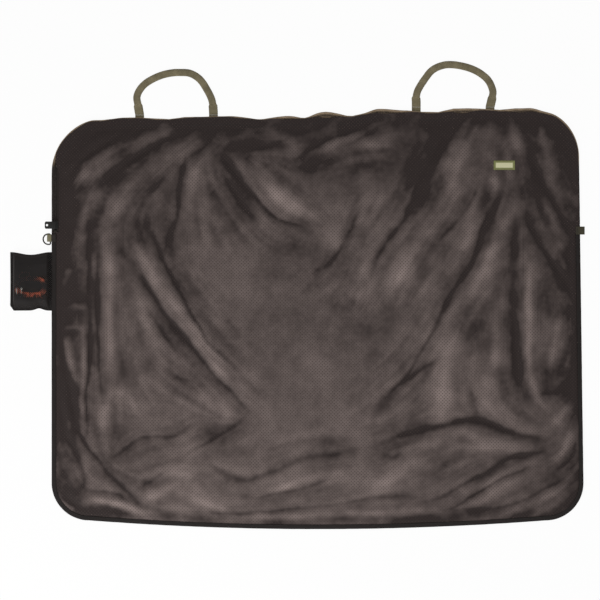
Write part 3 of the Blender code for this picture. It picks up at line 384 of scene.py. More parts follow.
def copies_along(name, pattern, places):
    """One mesh of a small pattern at each (place, direction along, direction up)."""
    source = np.array([v.co[:] for v in pattern.data.vertices])
    polys = [tuple(p.vertices) for p in pattern.data.polygons]
    verts, faces = [], []
    for place, along, up in places:
        side = up.cross(along).normalized()
        turn = np.array([along[:], side[:], up[:]])
        base = len(verts)
        verts.extend((source @ turn + np.array(place[:])).tolist())
        faces.extend(tuple(base + k for k in poly) for poly in polys)
    obj = mesh_object(name, verts, faces)
    bpy.data.objects.remove(pattern, do_unlink=True)
    return obj


def bead(segments, rings, size, lying=False):
    """A small round bead of a size; a lying one has its poles at the ends of its own X."""
    deselect()
    bpy.ops.mesh.primitive_uv_sphere_add(segments=segments, ring_count=rings, radius=0.5)
    obj = bpy.context.object
    if lying:
        obj.rotation_euler = (0, math.pi / 2, 0)
        bpy.ops.object.transform_apply(rotation=True)
    obj.scale = size
    bpy.ops.object.transform_apply(scale=True)
    return obj


def stitch_places(route, pitch, up=Vector((0, 0, 1))):
    """Places a pitch apart along a route of 3-D points."""
    out = []
    left = pitch / 2
    for a, b in zip(route, route[1:]):
        a, b = Vector(a), Vector(b)
        span = (b - a).length
        if span < 1e-9:
            continue
        along = (b - a) / span
        while left <= span:
            out.append((a + along * left, along, up))
            left += pitch
        left -= span
    return out


def stitches(name, routes, mat, body, pitch=0.0030, length=0.0024, width=0.0008, height=0.0006):
    """Rows of stitches in one piece, each stitch a low rounded bead of thread."""
    places = [place for route in routes for place in stitch_places(route, pitch)]
    row = copies_along(name, bead(6, 4, (length, width, height), lying=True), places)
    return finish_piece(row, mat, body, smooth=60)


# Materials

# Settings of a mix of two colours, and its colour output
COLOUR = {"data_type": "RGBA", "out": 2}


def put_on(tree, shader, colour, height, strength, depth, invert=False):
    """Gives a shader its colour, and its relief of a depth in metres."""
    tree.links.new(colour, shader.inputs["Base Color"])
    relief = add(tree, "Bump", strength, depth, ("Height", height), invert=invert)
    tree.links.new(relief, shader.inputs["Normal"])


def crossed_waves(tree, first, second, shape="SINE"):
    """The product of two waves, each from a coordinate and its radians per unit of it."""
    waves = []
    for coordinate, radians in (first, second):
        angle = add(tree, "Math", coordinate, radians, operation="MULTIPLY")
        waves.append(add(tree, "Math", angle, operation=shape))
    return add(tree, "Math", *waves, operation="MULTIPLY")


def mesh_cloth_look(name, low, high, hole, open_share, span, pitch, stretch=0.0):
    """Warp-knitted polyester mesh, dyed near black: matt threads with a faint sheen round
    staggered round holes. The real holes are 3 to 4 mm apart, which is finer than the picture
    shows, so they are drawn at the spacing seen there. stretch is how much wider the holes are
    where the cloth is drawn tight."""
    mat, tree, shader = material(
        name, Roughness=0.75, IOR=1.53, Specular_IOR_Level=0.22,
        Sheen_Weight=0.10, Sheen_Roughness=0.5, Sheen_Tint=rgb("#c9bfb8"),
    )
    place = add(tree, "UVMap", uv_map="OFBake")
    split = add(tree, "SeparateXYZ", place, out=None)
    turns = 2 * math.pi * span / pitch
    axes = [(split.outputs[axis], turns) for axis in ("X", "Y")]
    lattice = crossed_waves(tree, *axes, shape="COSINE")
    threshold = 1.0 - open_share
    painted_light_and_tightness = add(tree, "Attribute", attribute_name="painted_light_and_tightness", attribute_type="GEOMETRY", out="Fac")
    wider = add(tree, "Math", painted_light_and_tightness, stretch, lattice, operation="MULTIPLY_ADD")
    solid = add(tree, "MapRange", wider, threshold, threshold + 0.12, 1.0, 0.0)
    thread = add(tree, "MapRange", lattice, -1.0, 1.0)
    cloudy = add(tree, "TexNoise", place, ("Scale", 9.0), ("Detail", 3.0))
    # Painted light and shade: the attribute moves the threads from the low colour to the high one,
    # with random clouds
    tone = add(tree, "Math", cloudy, 0.5, painted_light_and_tightness, operation="MULTIPLY_ADD")
    level = add(tree, "MapRange", tone, 0.38, 1.25)
    shade = add(tree, "MapRange", thread, 0.55, 1.1)
    thread_colour = add(tree, "Mix", ("Factor", level), ("A", rgb(low)), ("B", rgb(high)), **COLOUR)
    colour = add(tree, "Mix", ("Factor", shade), ("A", thread_colour), ("B", rgb(hole)), **COLOUR)
    tree.links.new(solid, shader.inputs["Alpha"])
    put_on(tree, shader, colour, thread, 0.6, 0.0006, invert=True)
    return mat


SHEET_SPAN = 1.20
MESH_PITCH = 0.0076
sack_mesh = mesh_cloth_look(
    "knitted_polyester_mesh", "#1f1615", "#94847f", "#3d322d", 0.11, SHEET_SPAN, MESH_PITCH
)
# The back is the same mesh as the front with darker colours: painted shade of the sack's inside
back_mesh = mesh_cloth_look(
    "knitted_polyester_mesh_back", "#1c1513", "#5e534e", "#221b19", 0.05, SHEET_SPAN, MESH_PITCH
)
POUCH_SPAN = 0.16
POUCH_PITCH = 0.0046
pouch_mesh = mesh_cloth_look(
    "pouch_polyester_mesh", "#0d0807", "#43362f", "#0c0807", 0.06, POUCH_SPAN, POUCH_PITCH, 1.9
)
# The pouch's back is the same mesh as its front with darker colours: painted shade under the front
pouch_floor_mesh = mesh_cloth_look(
    "pouch_polyester_mesh_back", "#0e0b0a", "#241e1c", "#0c0908", 0.30, POUCH_SPAN, POUCH_PITCH
)


def one_side(tree, shown, colour):
    """A colour that turns to a painted shade past a line: shown gives the axis of the line and
    the places along it where the dark ends and where the colour is whole."""
    if not shown:
        return colour
    axis, dark_end, whole = shown
    split = add(tree, "SeparateXYZ", add(tree, "TexCoord", out="Object"), out=None)
    share = add(tree, "MapRange", split.outputs[axis], dark_end, whole)
    # The dark past the line is painted shade
    painted_shade = rgb("#241e1a")
    return add(tree, "Mix", ("Factor", share), ("A", painted_shade), ("B", colour), **COLOUR)


def woven_look(name, colour, edge, rib, sheen, lift, shown=None):
    """Woven tape or webbing: ribs across the strip with finer warp threads along it. The ribs
    are drawn at twice their real spacing so that they show."""
    mat, tree, shader = material(
        name, Roughness=0.8, IOR=1.5, Sheen_Weight=sheen, Specular_IOR_Level=0.25
    )
    place = add(tree, "UVMap", uv_map="weave")
    split = add(tree, "SeparateXYZ", place, out=None)
    ribs = (split.outputs["X"], 2 * math.pi / rib)
    warp = (split.outputs["Y"], 2 * math.pi / (rib * 0.7))
    height = add(tree, "MapRange", crossed_waves(tree, ribs, warp), -1.0, 1.0)
    worn = add(tree, "TexNoise", place, ("Scale", 55.0), ("Detail", 4.0))
    mixed = add(tree, "Math", height, 0.55, worn, operation="MULTIPLY_ADD")
    level = add(tree, "MapRange", mixed, 0.35, 1.15)
    tones = (("A", rgb(edge)), ("B", rgb(colour)))
    thread_colour = add(tree, "Mix", ("Factor", level), *tones, **COLOUR)
    put_on(tree, shader, one_side(tree, shown, thread_colour), height, lift, 0.0005)
    return mat


# Painted shade: the zip's brown shows only round the top and turns dark below; the tab's ends are
# painted dark where they are sewn down
ZIP_BROWN = ("Y", 0.350, 0.378)
LEFT_TAB = ("X", LEFT_X + 0.0004, LEFT_X - 0.0016)
olive_webbing = woven_look("woven_olive_webbing", "#958a6c", "#4d4530", 0.0024, 0.3, 0.8)
left_loop_webbing = woven_look(
    "woven_loop_webbing_left", "#8d866a", "#4c4733", 0.0022, 0.2, 0.7, LEFT_TAB
)
# The right loop is the same webbing as the left one with darker colours: painted shade
right_loop_webbing = woven_look("woven_loop_webbing_right", "#4a4535", "#27241b", 0.0022, 0.1, 0.7)
binding_tape = woven_look("woven_binding_tape", "#1d1715", "#0f0c0b", 0.0020, 0.0, 0.6)
zip_tape = woven_look("woven_zip_tape", "#b39c82", "#6d5c47", 0.0018, 0.1, 0.6, ZIP_BROWN)
inner_zip_tape = woven_look(
    "woven_inner_zip_tape", "#a08b73", "#5f5040", 0.0018, 0.0, 0.6, ZIP_BROWN
)


def grained_look(name, colour, dark, roughness, metallic, grain, strength, shown=None):
    """A hard surface with a fine grain: dark and light mottling with a little relief."""
    mat, tree, shader = material(name, Roughness=roughness, Metallic=metallic)
    place = add(tree, "TexCoord", out="Object")
    spots = add(tree, "TexNoise", place, ("Scale", 1 / grain), ("Detail", 4.0))
    tones = (("A", rgb(dark)), ("B", rgb(colour)))
    tone = add(tree, "Mix", ("Factor", spots), *tones, **COLOUR)
    put_on(tree, shader, one_side(tree, shown, tone), spots, strength, 0.0002)
    return mat


# Acetal, moulded: dark, hardly glossy, with the dull grain of its mould
dark_acetal = grained_look("moulded_acetal", "#1d1c19", "#0f0e0d", 0.45, 0.0, 0.0009, 0.25)
acetal_shader = dark_acetal.node_tree.nodes["Principled BSDF"]
acetal_shader.inputs["Specular IOR Level"].default_value = 0.2
# Nylon coil of the zip: extruded monofilament, a little glossy
# Its colour is set lighter than its real brown, painted light against the cloth's shadow on it, and
# below the top it turns to painted shade
nylon_coil = grained_look(
    "nylon_zip_coil", "#b8a084", "#84705a", 0.38, 0.0, 0.0012, 0.1, ZIP_BROWN
)
# Nickel plated steel: bright, slightly worn
nickel_steel = grained_look("nickel_plated_steel", "#dcdad4", "#a5a39c", 0.30, 1.0, 0.0016, 0.15)
# Black nickel on steel: dark, half bright, worn lighter in places
black_nickel = grained_look("black_nickel_steel", "#3e3c37", "#1e1d1b", 0.34, 1.0, 0.0022, 0.15)
# Spun polyester thread
dark_thread = grained_look("spun_polyester_thread", "#241e1b", "#13100e", 0.8, 0.0, 0.0008, 0.3)
olive_thread = grained_look("olive_sewing_thread", "#857a5c", "#4a4230", 0.8, 0.0, 0.0008, 0.3)


def cord_look():
    """Braided polypropylene cord, orange red: short slanting strands with dark joints."""
    mat, tree, shader = material("braided_red_cord", Roughness=0.6, IOR=1.49, Sheen_Weight=0.2)
    split = add(tree, "SeparateXYZ", add(tree, "UVMap", uv_map="weave"), out=None)
    x, y = split.outputs["X"], split.outputs["Y"]
    strand = 2 * math.pi / 0.0026
    slants = [(add(tree, "Math", x, y, operation=way), strand) for way in ("ADD", "SUBTRACT")]
    height = add(tree, "MapRange", crossed_waves(tree, *slants), -1.0, 1.0)
    tones = (("A", rgb("#e0522f")), ("B", rgb("#ff946a")))
    colour = add(tree, "Mix", ("Factor", height), *tones, **COLOUR)
    put_on(tree, shader, colour, height, 0.7, 0.0004)
    return mat


red_cord = cord_look()


# Folds of the front, from the picture: (half width in picture steps, height in mm, points)

FOLDS = (
    # the upper left corner's sweeping folds
    (8, 4.5, ((176, 127), (134, 144), (107, 159), (84, 177), (76, 193))),
    (4.5, -5.0, ((197, 127), (163, 142), (134, 159), (107, 180), (97, 190))),
    (4.5, -4.0, ((124, 133), (92, 152), (77, 165), (67, 184))),
    (9, 4.0, ((212, 134), (172, 157), (134, 184), (120, 203), (108, 234), (108, 262))),
    (4, -4.5, ((186, 154), (180, 188), (176, 219), (168, 240), (164, 253))),
    (4, -3.5, ((214, 133), (203, 148), (187, 159))),
    (10, 3.5, ((200, 165), (202, 190), (214, 215), (226, 232))),
    (3.5, -5.5, ((223, 158), (239, 178), (256, 198), (275, 217), (302, 227))),
    (9, 5.0, ((262, 168), (276, 190), (292, 204), (306, 212))),
    (5, -3.0, ((226, 178), (241, 203), (258, 224))),
    # the long pair down the left of the middle
    (6, 6.0, ((136, 243), (149, 268), (163, 289), (184, 316), (207, 346), (228, 373))),
    (4, -5.5, ((152, 232), (165, 263), (178, 287), (193, 315), (212, 346), (236, 366))),
    (3.5, -5.0, ((136, 253), (147, 284), (163, 310), (190, 343), (210, 371), (230, 390),
        (249, 410))),
    (5, 4.0, ((134, 291), (145, 312), (156, 335), (168, 352))),
    (4, -4.0, ((147, 306), (163, 333), (177, 352))),
    # upright folds of the left side
    (5, 4.5, ((109, 238), (111, 272), (109, 310), (112, 345), (108, 380))),
    (3.5, -4.0, ((99, 250), (98, 291), (99, 340), (101, 385), (103, 402))),
    (3, -5.5, ((90, 222), (90, 272), (91, 330), (89, 370), (86, 396), (88, 432))),
    (3, 3.5, ((84, 318), (84, 360), (83, 400), (84, 430))),
    (6, 4.0, ((85, 200), (82, 225), (75, 260))),
    (4, 3.0, ((69, 266), (64, 290))),
    (3, 2.5, ((62, 307), (76, 306), (89, 308))),
    (3, 2.5, ((62, 327), (76, 327), (88, 328))),
    (4, -4.5, ((59, 320), (62, 345), (67, 373), (75, 413), (84, 440), (107, 469), (130, 494),
        (152, 517))),
    (3.5, 4.0, ((66, 338), (71, 356), (78, 385))),
    (4, -3.5, ((57, 373), (64, 425), (77, 455), (84, 478), (80, 492))),
    # the lower left corner
    (4, 4.5, ((80, 498), (115, 502), (134, 509), (150, 518))),
    (3, -4.0, ((86, 491), (113, 492), (128, 500))),
    (4, -3.5, ((53, 480), (62, 496), (78, 507))),
    (3, 3.5, ((56, 490), (64, 502), (76, 511))),
    (6, 4.5, ((107, 402), (104, 416), (103, 428))),
    (7, 4.0, ((112, 402), (124, 392), (136, 402), (141, 416))),
    (4, -3.5, ((111, 462), (126, 448), (143, 437), (172, 436), (192, 424))),
    (5, -3.5, ((166, 364), (178, 376), (192, 380))),
    (7, 4.0, ((198, 388), (218, 405), (232, 418))),
    (4, -3.0, ((249, 412), (236, 424), (210, 440), (186, 455))),
    (7, 3.5, ((168, 470), (182, 472), (194, 480))),
    (5, 3.5, ((146, 497), (158, 494), (170, 486))),
    (4, -3.5, ((142, 487), (152, 480), (166, 470))),
    # the sweep along the bottom
    (6, -4.0, ((208, 460), (228, 474), (249, 479), (277, 469), (302, 459), (330, 454), (352, 451))),
    (5, 4.0, ((188, 495), (206, 502), (232, 510))),
    (4, 3.5, ((266, 492), (290, 484), (318, 474), (352, 470))),
    (3.5, -3.5, ((256, 498), (277, 492), (300, 489), (330, 478))),
    (4, -3.5, ((187, 512), (239, 513), (300, 508), (340, 503), (372, 497), (415, 497))),
    (3, 2.5, ((230, 518), (300, 515), (370, 512), (440, 511))),
    (7, -5.5, ((375, 446), (406, 433), (442, 425), (461, 420), (484, 421), (510, 431), (548, 440))),
    (5, 5.0, ((412, 446), (445, 437), (465, 431), (480, 441), (500, 445), (530, 447))),
    (6, -3.0, ((380, 452), (392, 457), (404, 452))),
    (9, 3.5, ((426, 456), (404, 468), (386, 482), (372, 492))),
    (4.5, -5.0, ((546, 451), (516, 456), (491, 469), (468, 481), (445, 494), (420, 503))),
    (4, 5.0, ((542, 459), (524, 464), (503, 473), (484, 487))),
    (3, -5.0, ((530, 465), (501, 479), (472, 496), (456, 506), (444, 510))),
    (6, 3.5, ((486, 494), (502, 487), (520, 478))),
    (4, -4.0, ((450, 509), (491, 509), (522, 500), (549, 486), (573, 472))),
    (3, 2.5, ((540, 500), (560, 488), (574, 474))),
    # the right side
    (3.5, 4.5, ((571, 430), (566, 446), (558, 458))),
    (3, -3.5, ((576, 440), (571, 458), (556, 470))),
    (4, -4.0, ((540, 394), (560, 391), (573, 382))),
    (4, 4.5, ((569, 404), (560, 416), (556, 426))),
    (4, 4.5, ((560, 319), (556, 344), (552, 366))),
    (3, 3.5, ((570, 352), (566, 368))),
    (4, 3.5, ((556, 240), (562, 256), (566, 272))),
    (4.5, -5.0, ((524, 212), (535, 238), (551, 261), (564, 282), (576, 304))),
    (4.5, -4.5, ((530, 155), (545, 188), (560, 215), (573, 232))),
    (6, 4.0, ((539, 122), (543, 150), (549, 180), (553, 196))),
    (4, 6.0, ((530, 266), (528, 301), (528, 340), (529, 368), (536, 394), (547, 410))),
    (8, -5.5, ((515, 220), (514, 250), (510, 272), (514, 310), (515, 348), (522, 387), (530, 404))),
    (8, 4.5, ((508, 205), (500, 232), (492, 257), (484, 276), (470, 300))),
    (5, -5.5, ((503, 195), (484, 226), (478, 249), (466, 272), (453, 291), (442, 312),
        (432, 332), (413, 366), (396, 387), (380, 404))),
    (10, 5.0, ((453, 326), (446, 350), (444, 379), (442, 402), (434, 420))),
    (9, 5.0, ((500, 330), (499, 352), (490, 380), (486, 404), (504, 420))),
    (5, -3.0, ((470, 388), (474, 402), (478, 418))),
    (4, -4.5, ((441, 356), (419, 371), (392, 389))),
    # the long folds right of the middle
    (5, -5.5, ((464, 115), (445, 142), (434, 159), (422, 180), (413, 201), (403, 222),
        (390, 238), (377, 257), (370, 278))),
    (10, 5.0, ((464, 138), (458, 160), (456, 182), (450, 200))),
    (5, -3.5, ((481, 182), (466, 209), (453, 225), (440, 240))),
    (8, 4.5, ((477, 205), (469, 234), (460, 252))),
    (8, 4.5, ((434, 220), (419, 242), (406, 265), (392, 290))),
    (5, 3.5, ((493, 176), (496, 192))),
    (6, 3.0, ((515, 133), (519, 150))),
    (12, 4.0, ((322, 222), (334, 236), (340, 250))),
    (8, 3.5, ((366, 262), (364, 284), (352, 300))),
    (5, -3.5, ((362, 205), (338, 253), (311, 278))),
    # the crumpled middle of the top edge
    (4, -4.5, ((298, 158), (323, 142), (358, 130))),
    (4, -3.5, ((346, 145), (362, 138), (378, 128))),
    (6, 3.5, ((318, 152), (345, 142), (372, 144), (380, 152))),
    (6, 3.0, ((262, 130), (286, 140), (300, 150))),
    (5, -3.0, ((246, 152), (268, 146), (292, 138))),
)

# Main folds: height, and points along the crest
MAIN_FOLD_HALF_WIDTH = 0.026
MAIN_FOLDS = (
    (0.0050, ((-0.235, 0.368), (-0.325, 0.332), (-0.411, 0.287), (-0.456, 0.214))),
    (0.0055, ((-0.467, 0.176), (-0.462, 0.074), (-0.465, -0.038), (-0.469, -0.140))),
    (0.0065, ((-0.404, 0.178), (-0.347, 0.079), (-0.250, -0.050), (-0.180, -0.129))),
    (0.0050, ((-0.090, 0.309), (-0.036, 0.255), (0.050, 0.187))),
    (0.0055, ((0.320, 0.345), (0.284, 0.259), (0.217, 0.151), (0.135, 0.052))),
    (0.0055, ((0.438, 0.264), (0.406, 0.165), (0.352, 0.056), (0.307, -0.027), (0.280, -0.174))),
    (0.0060, ((0.478, 0.129), (0.478, -0.016), (0.492, -0.151))),
    (0.0050, ((0.415, -0.016), (0.393, -0.129), (0.402, -0.201))),
    (0.0060, ((0.081, -0.323), (0.217, -0.277), (0.336, -0.244), (0.478, -0.277))),
    (0.0045, ((-0.460, -0.192), (-0.352, -0.174), (-0.221, -0.185))),
    (0.0045, ((-0.352, -0.332), (-0.194, -0.314), (-0.059, -0.332))),
)

CREST_Z = 0.0190
FOLD_LIMIT = 0.0090
GRID_STEP = 0.0036
# How much of a traced fold's height the laid cloth has, and how much painted light and shade it
# gets
FOLD_EASE = 0.62
RIDGE_LIGHT = 50.0
VALLEY_LIGHT = 43.0
FOLD_REACH = 3.6
EDGE_CHUNK = 4000
STREAK_STEP = 0.004
STREAK_REACH = 9
STREAK_ROOM = 0.050
STREAK_LOW = (LEFT_X - 0.03, BOTTOM_Y - 0.04)
LABEL_CENTRE = (RIGHT_X - 0.1696, TOP_RIGHT_Y - 0.130)
LABEL_HALF = (0.0238, 0.0104)
LABEL_STITCH_HALF = (0.0222, 0.0088)
# The cloth lies flat under the label: half size of that place, and its height
LABEL_BED = (0.024, 0.0105)
LABEL_BED_Z = 0.0197
EDGE_FLOOR_Z = 0.0053
# Where a cloth's own pattern starts, and how far in it ends under the binding
SHEET_CORNER = (LEFT_X - 0.001, BOTTOM_Y - 0.025)
SEWN_INSET = 0.0012
# Distances off a piece's middle between which its flanks start to be moved out
FLANK_FROM_MIDDLE = (0.0030, 0.0055)


def smoothstep(low, high, value):
    t = np.clip((value - low) / (high - low), 0.0, 1.0)
    return t * t * (3 - 2 * t)


outline = even_path(upper_rim(ZIP_LEFT_END_Y, ZIP_RIGHT_END_Y), 0.004)
outline += even_path(lower_rim(ZIP_LEFT_END_Y, ZIP_RIGHT_END_Y), 0.004)[1:-1]
outline = np.array([p[:] for p in outline])


def edge_distance(points):
    """Distance in from the outline, negative outside it, and the direction inwards."""
    a = outline
    b = np.roll(outline, -1, axis=0)
    along = b - a
    length = (along**2).sum(axis=1)
    best = np.full(len(points), 1e9)
    nearest = np.zeros((len(points), 2))
    inside = np.zeros(len(points), dtype=bool)
    for start in range(0, len(points), EDGE_CHUNK):
        part = slice(start, start + EDGE_CHUNK)
        p = points[part, None, :]
        t = np.clip(((p - a) * along).sum(axis=2) / length, 0, 1)
        foot = a + along * t[..., None]
        gap = ((p - foot) ** 2).sum(axis=2)
        which = gap.argmin(axis=1)
        rows = np.arange(len(which))
        best[part] = np.sqrt(gap[rows, which])
        nearest[part] = foot[rows, which]
        above = (a[:, 1] > p[..., 1]) != (b[:, 1] > p[..., 1])
        rise = np.where(along[:, 1] == 0, 1e-12, along[:, 1])
        crossing = a[:, 0] + (p[..., 1] - a[:, 1]) * along[:, 0] / rise
        inside[part] = ((above & (p[..., 0] < crossing)).sum(axis=1) % 2) == 1
    away = points - nearest
    size = np.maximum(np.linalg.norm(away, axis=1), 1e-9)[:, None]
    direction = np.where(inside[:, None], away / size, -away / size)
    return np.where(inside, best, -best), direction


def rumple(points, size, seed):
    """Small random unevenness of laid cloth, from -1 to 1."""
    return np.array([noise.noise(Vector((x / size, y / size, seed))) for x, y in points])


def fold_shape(points):
    """Height of the narrow folds at each place, in metres, and their painted light: a painted
    highlight along each ridge and painted shade along each valley. A valley is a crease in a
    broad dip between two low lips, and no fold runs quite evenly."""
    total = np.zeros(len(points))
    light = np.zeros(len(points))
    along_x = 0.0035 * rumple(points, 0.055, 11.0) + 0.0014 * rumple(points, 0.016, 12.0)
    along_y = 0.0035 * rumple(points, 0.055, 21.0) + 0.0014 * rumple(points, 0.016, 22.0)
    uneven = 1.0 + 0.55 * rumple(points, 0.035, 31.0)
    points = points + np.column_stack([along_x, along_y])
    for half_width, height, route in FOLDS:
        path = np.array([p[:] for p in smooth_points([seen(*p) for p in route], 0.003)])
        width = half_width * PIXEL
        reach = FOLD_REACH * width
        low, high = path.min(axis=0) - reach, path.max(axis=0) + reach
        near = np.nonzero(((points > low) & (points < high)).all(axis=1))[0]
        if not len(near):
            continue
        gap = ((points[near, None, :] - path[None]) ** 2).sum(axis=2)
        which = gap.argmin(axis=1)
        share = which / (len(path) - 1)
        taper = smoothstep(-0.12, 0.22, share) * smoothstep(-0.12, 0.22, 1 - share)
        size = height * 0.001 * taper * uneven[near]
        far = gap[np.arange(len(near)), which] / width**2
        # glow is painted light: a painted highlight along a ridge, painted shade along a valley
        if height > 0:
            profile = np.exp(-far)
            glow = RIDGE_LIGHT * np.exp(-far * 0.8)
        else:
            profile = 0.60 * np.exp(-far * 3.5) + 0.40 * np.exp(-far * 0.7)
            profile -= 0.20 * np.exp(-((np.sqrt(far) - 1.9) ** 2) * 1.4)
            glow = VALLEY_LIGHT * (0.65 * np.exp(-far * 5.0) + 0.35 * np.exp(-far * 0.7))
        total[near] += size * profile * FOLD_EASE
        light[near] += size * glow
    return total, light


def streak_field():
    """Fine wrinkles that run with the nearest folds: random unevenness smeared along them, as
    strong as the folds are close. A fine and a broad layer, each on the same grid."""
    xs = np.arange(STREAK_LOW[0], RIGHT_X + 0.04, STREAK_STEP)
    ys = np.arange(STREAK_LOW[1], TOP_RIGHT_Y + 0.03, STREAK_STEP)
    place_x, place_y = np.meshgrid(xs, ys)
    even = np.zeros(place_x.shape)
    odd = np.zeros(place_x.shape)
    for _, _, route in FOLDS:
        path = smooth_points([seen(*p) for p in route], 0.02)
        for a, b in zip(path, path[1:]):
            middle, span = (a + b) / 2, b - a
            squared = (place_x - middle.x) ** 2 + (place_y - middle.y) ** 2
            weight = np.exp(-squared / STREAK_ROOM**2) * span.length
            angle = 2 * math.atan2(span.y, span.x)
            even += weight * math.cos(angle)
            odd += weight * math.sin(angle)
    turn = np.arctan2(odd, even) / 2
    strength = np.clip(np.hypot(even, odd) / 0.030, 0, 1)
    step_x, step_y = np.cos(turn), np.sin(turn)
    grain = np.random.default_rng(11).standard_normal(place_x.shape)
    blurred = sum(np.roll(grain, (i, j), (0, 1)) for i in range(-2, 3) for j in range(-2, 3))
    start_row, start_column = np.indices(place_x.shape).astype(float)
    layers = []
    for layer in (grain, blurred):
        smeared = layer.copy()
        for sign in (1, -1):
            row, column = start_row.copy(), start_column.copy()
            move_x, move_y = sign * step_x, sign * step_y
            for _ in range(STREAK_REACH):
                row += move_y
                column += move_x
                i = np.clip(np.rint(row), 0, len(ys) - 1).astype(int)
                j = np.clip(np.rint(column), 0, len(xs) - 1).astype(int)
                smeared += layer[i, j]
                same = np.where(step_x[i, j] * move_x + step_y[i, j] * move_y < 0, -1, 1)
                move_x, move_y = step_x[i, j] * same, step_y[i, j] * same
        layers.append(smeared / smeared.std() * strength)
    return layers


fine_streaks, broad_streaks = streak_field()


def streaks_at(layer, points):
    """The layer's value at places between its grid's."""
    column = (points[:, 0] - STREAK_LOW[0]) / STREAK_STEP
    row = (points[:, 1] - STREAK_LOW[1]) / STREAK_STEP
    i = np.clip(row.astype(int), 0, layer.shape[0] - 2)
    j = np.clip(column.astype(int), 0, layer.shape[1] - 2)
    u, v = column - j, row - i
    low = layer[i, j] * (1 - u) + layer[i, j + 1] * u
    high = layer[i + 1, j] * (1 - u) + layer[i + 1, j + 1] * u
    return low * (1 - v) + high * v


def main_fold_height(points):
    """Height of the main folds, which fade beside the mouth's fold."""
    rise = np.zeros(len(points))
    for height, crest in MAIN_FOLDS:
        path = np.array([p.xy[:] for p in smooth_points([(*c, 0.0) for c in crest], 0.01)])
        gap = ((points[:, None, :] - path[None]) ** 2).sum(axis=2).min(axis=1)
        rise = np.maximum(rise, height * np.exp(-gap / MAIN_FOLD_HALF_WIDTH**2))
    return rise * np.clip((np.abs(points[:, 1] - FOLD_Y) - 0.010) / 0.040, 0, 1)


def cloth_tone(points, distance, light):
    """Painted light and shade of the cloth: painted highlights on ridges, painted light over the
    middle and towards the lower left, and painted shade in valleys, near its edges and towards
    its top, its sides and its upper corners. Random streaks and mottling go on top."""
    x, y = points[:, 0], points[:, 1]
    tone = 0.42 + light
    tone += 0.020 * streaks_at(fine_streaks, points) + 0.030 * streaks_at(broad_streaks, points)
    tone += 0.05 * rumple(points, 0.009, 3.3) + 0.06 * rumple(points, 0.030, 4.1)
    tone += 0.11 * rumple(points, 0.110, 6.6)
    # Painted shade towards the top and the sides, painted light towards the lower left and right of
    # the upper middle
    tone -= 0.15 * smoothstep(0.05, 0.42, y)
    tone -= 0.09 * smoothstep(0.25, 0.55, np.abs(x))
    tone += 0.06 * (1 - smoothstep(-0.36, 0.02, y)) * (1 - smoothstep(-0.30, 0.30, x))
    tone += 0.05 * smoothstep(0.10, 0.40, x) * smoothstep(0.12, 0.34, y)
    # Painted shade along the left side and near the edges
    left = 1 - smoothstep(0.02, 0.11, x - LEFT_X)
    rim = 1 - smoothstep(0.004, 0.060, distance)
    rim *= 1 + 0.8 * rumple(points, 0.040, 9.2)
    tone -= 0.16 * np.maximum(left, rim)
    return np.clip(0.405 + 1.35 * (tone - 0.42), 0.03, 1.2)


def cloth_z(points, distance):
    """Height of the front cloth at places a distance in from the sack's edge."""
    narrow, light = fold_shape(points)
    folds = narrow + main_fold_height(points) * 0.70
    folds = FOLD_LIMIT * np.tanh(folds / FOLD_LIMIT)
    folds += 0.0011 * rumple(points, 0.045, 2.3) + 0.0003 * rumple(points, 0.018, 7.9)
    folds += 0.00025 * streaks_at(fine_streaks, points)
    folds += 0.00060 * streaks_at(broad_streaks, points)
    crown = np.interp(
        distance,
        [0.0, BINDING_LEG, BINDING_LEG + 0.0035, SLOPE_FOOT, 0.045, 0.090, 0.115],
        [0.0053, 0.0053, 0.0074, 0.0080, 0.0125, 0.0168, CREST_Z],
    )
    zipped = points[:, 1] > ZIP_LEFT_END_Y
    rim = np.interp(distance, [0.0, 0.004, SLOPE_FOOT], [0.0066, 0.0077, 0.0080])
    crown = np.where(zipped & (distance < SLOPE_FOOT), rim, crown)
    z = crown + folds * smoothstep(0.010, 0.040, distance)
    label = np.abs(points - np.array(LABEL_CENTRE)) - np.array(LABEL_BED)
    near_label = 1 - smoothstep(0.0, 0.012, np.maximum(label, 0).max(axis=1))
    z = z * (1 - near_label) + LABEL_BED_Z * near_label
    return np.maximum(z, EDGE_FLOOR_Z), cloth_tone(points, distance, light)


def rim_inset(points):
    """How far in from the outline the front cloth ends: under the binding on the closed edges,
    short of the slider's run on the left, and almost over the whole zip elsewhere."""
    x, y = points[:, 0], points[:, 1]
    bare = np.full(len(points), 0.0014)
    for pixel, half_width, depth in BARE_ZIP:
        centre = seen(pixel, 0)[0]
        bare += depth * 0.001 * np.exp(-(((x - centre) / (half_width * PIXEL)) ** 2))
    bare += 0.0005 * np.sin(x * 101)
    inset = np.where(y > 0.38, np.clip(bare, 0.0006, 0.0135), 0.0022)
    left_run = (x < 0) & (y > ZIP_LEFT_END_Y)
    inset = np.where(left_run, inset + (0.0157 - inset) * (1 - smoothstep(0.335, 0.380, y)), inset)
    closed = y < np.where(x < 0, ZIP_LEFT_END_Y, ZIP_RIGHT_END_Y)
    return np.where(closed, SEWN_INSET, inset)


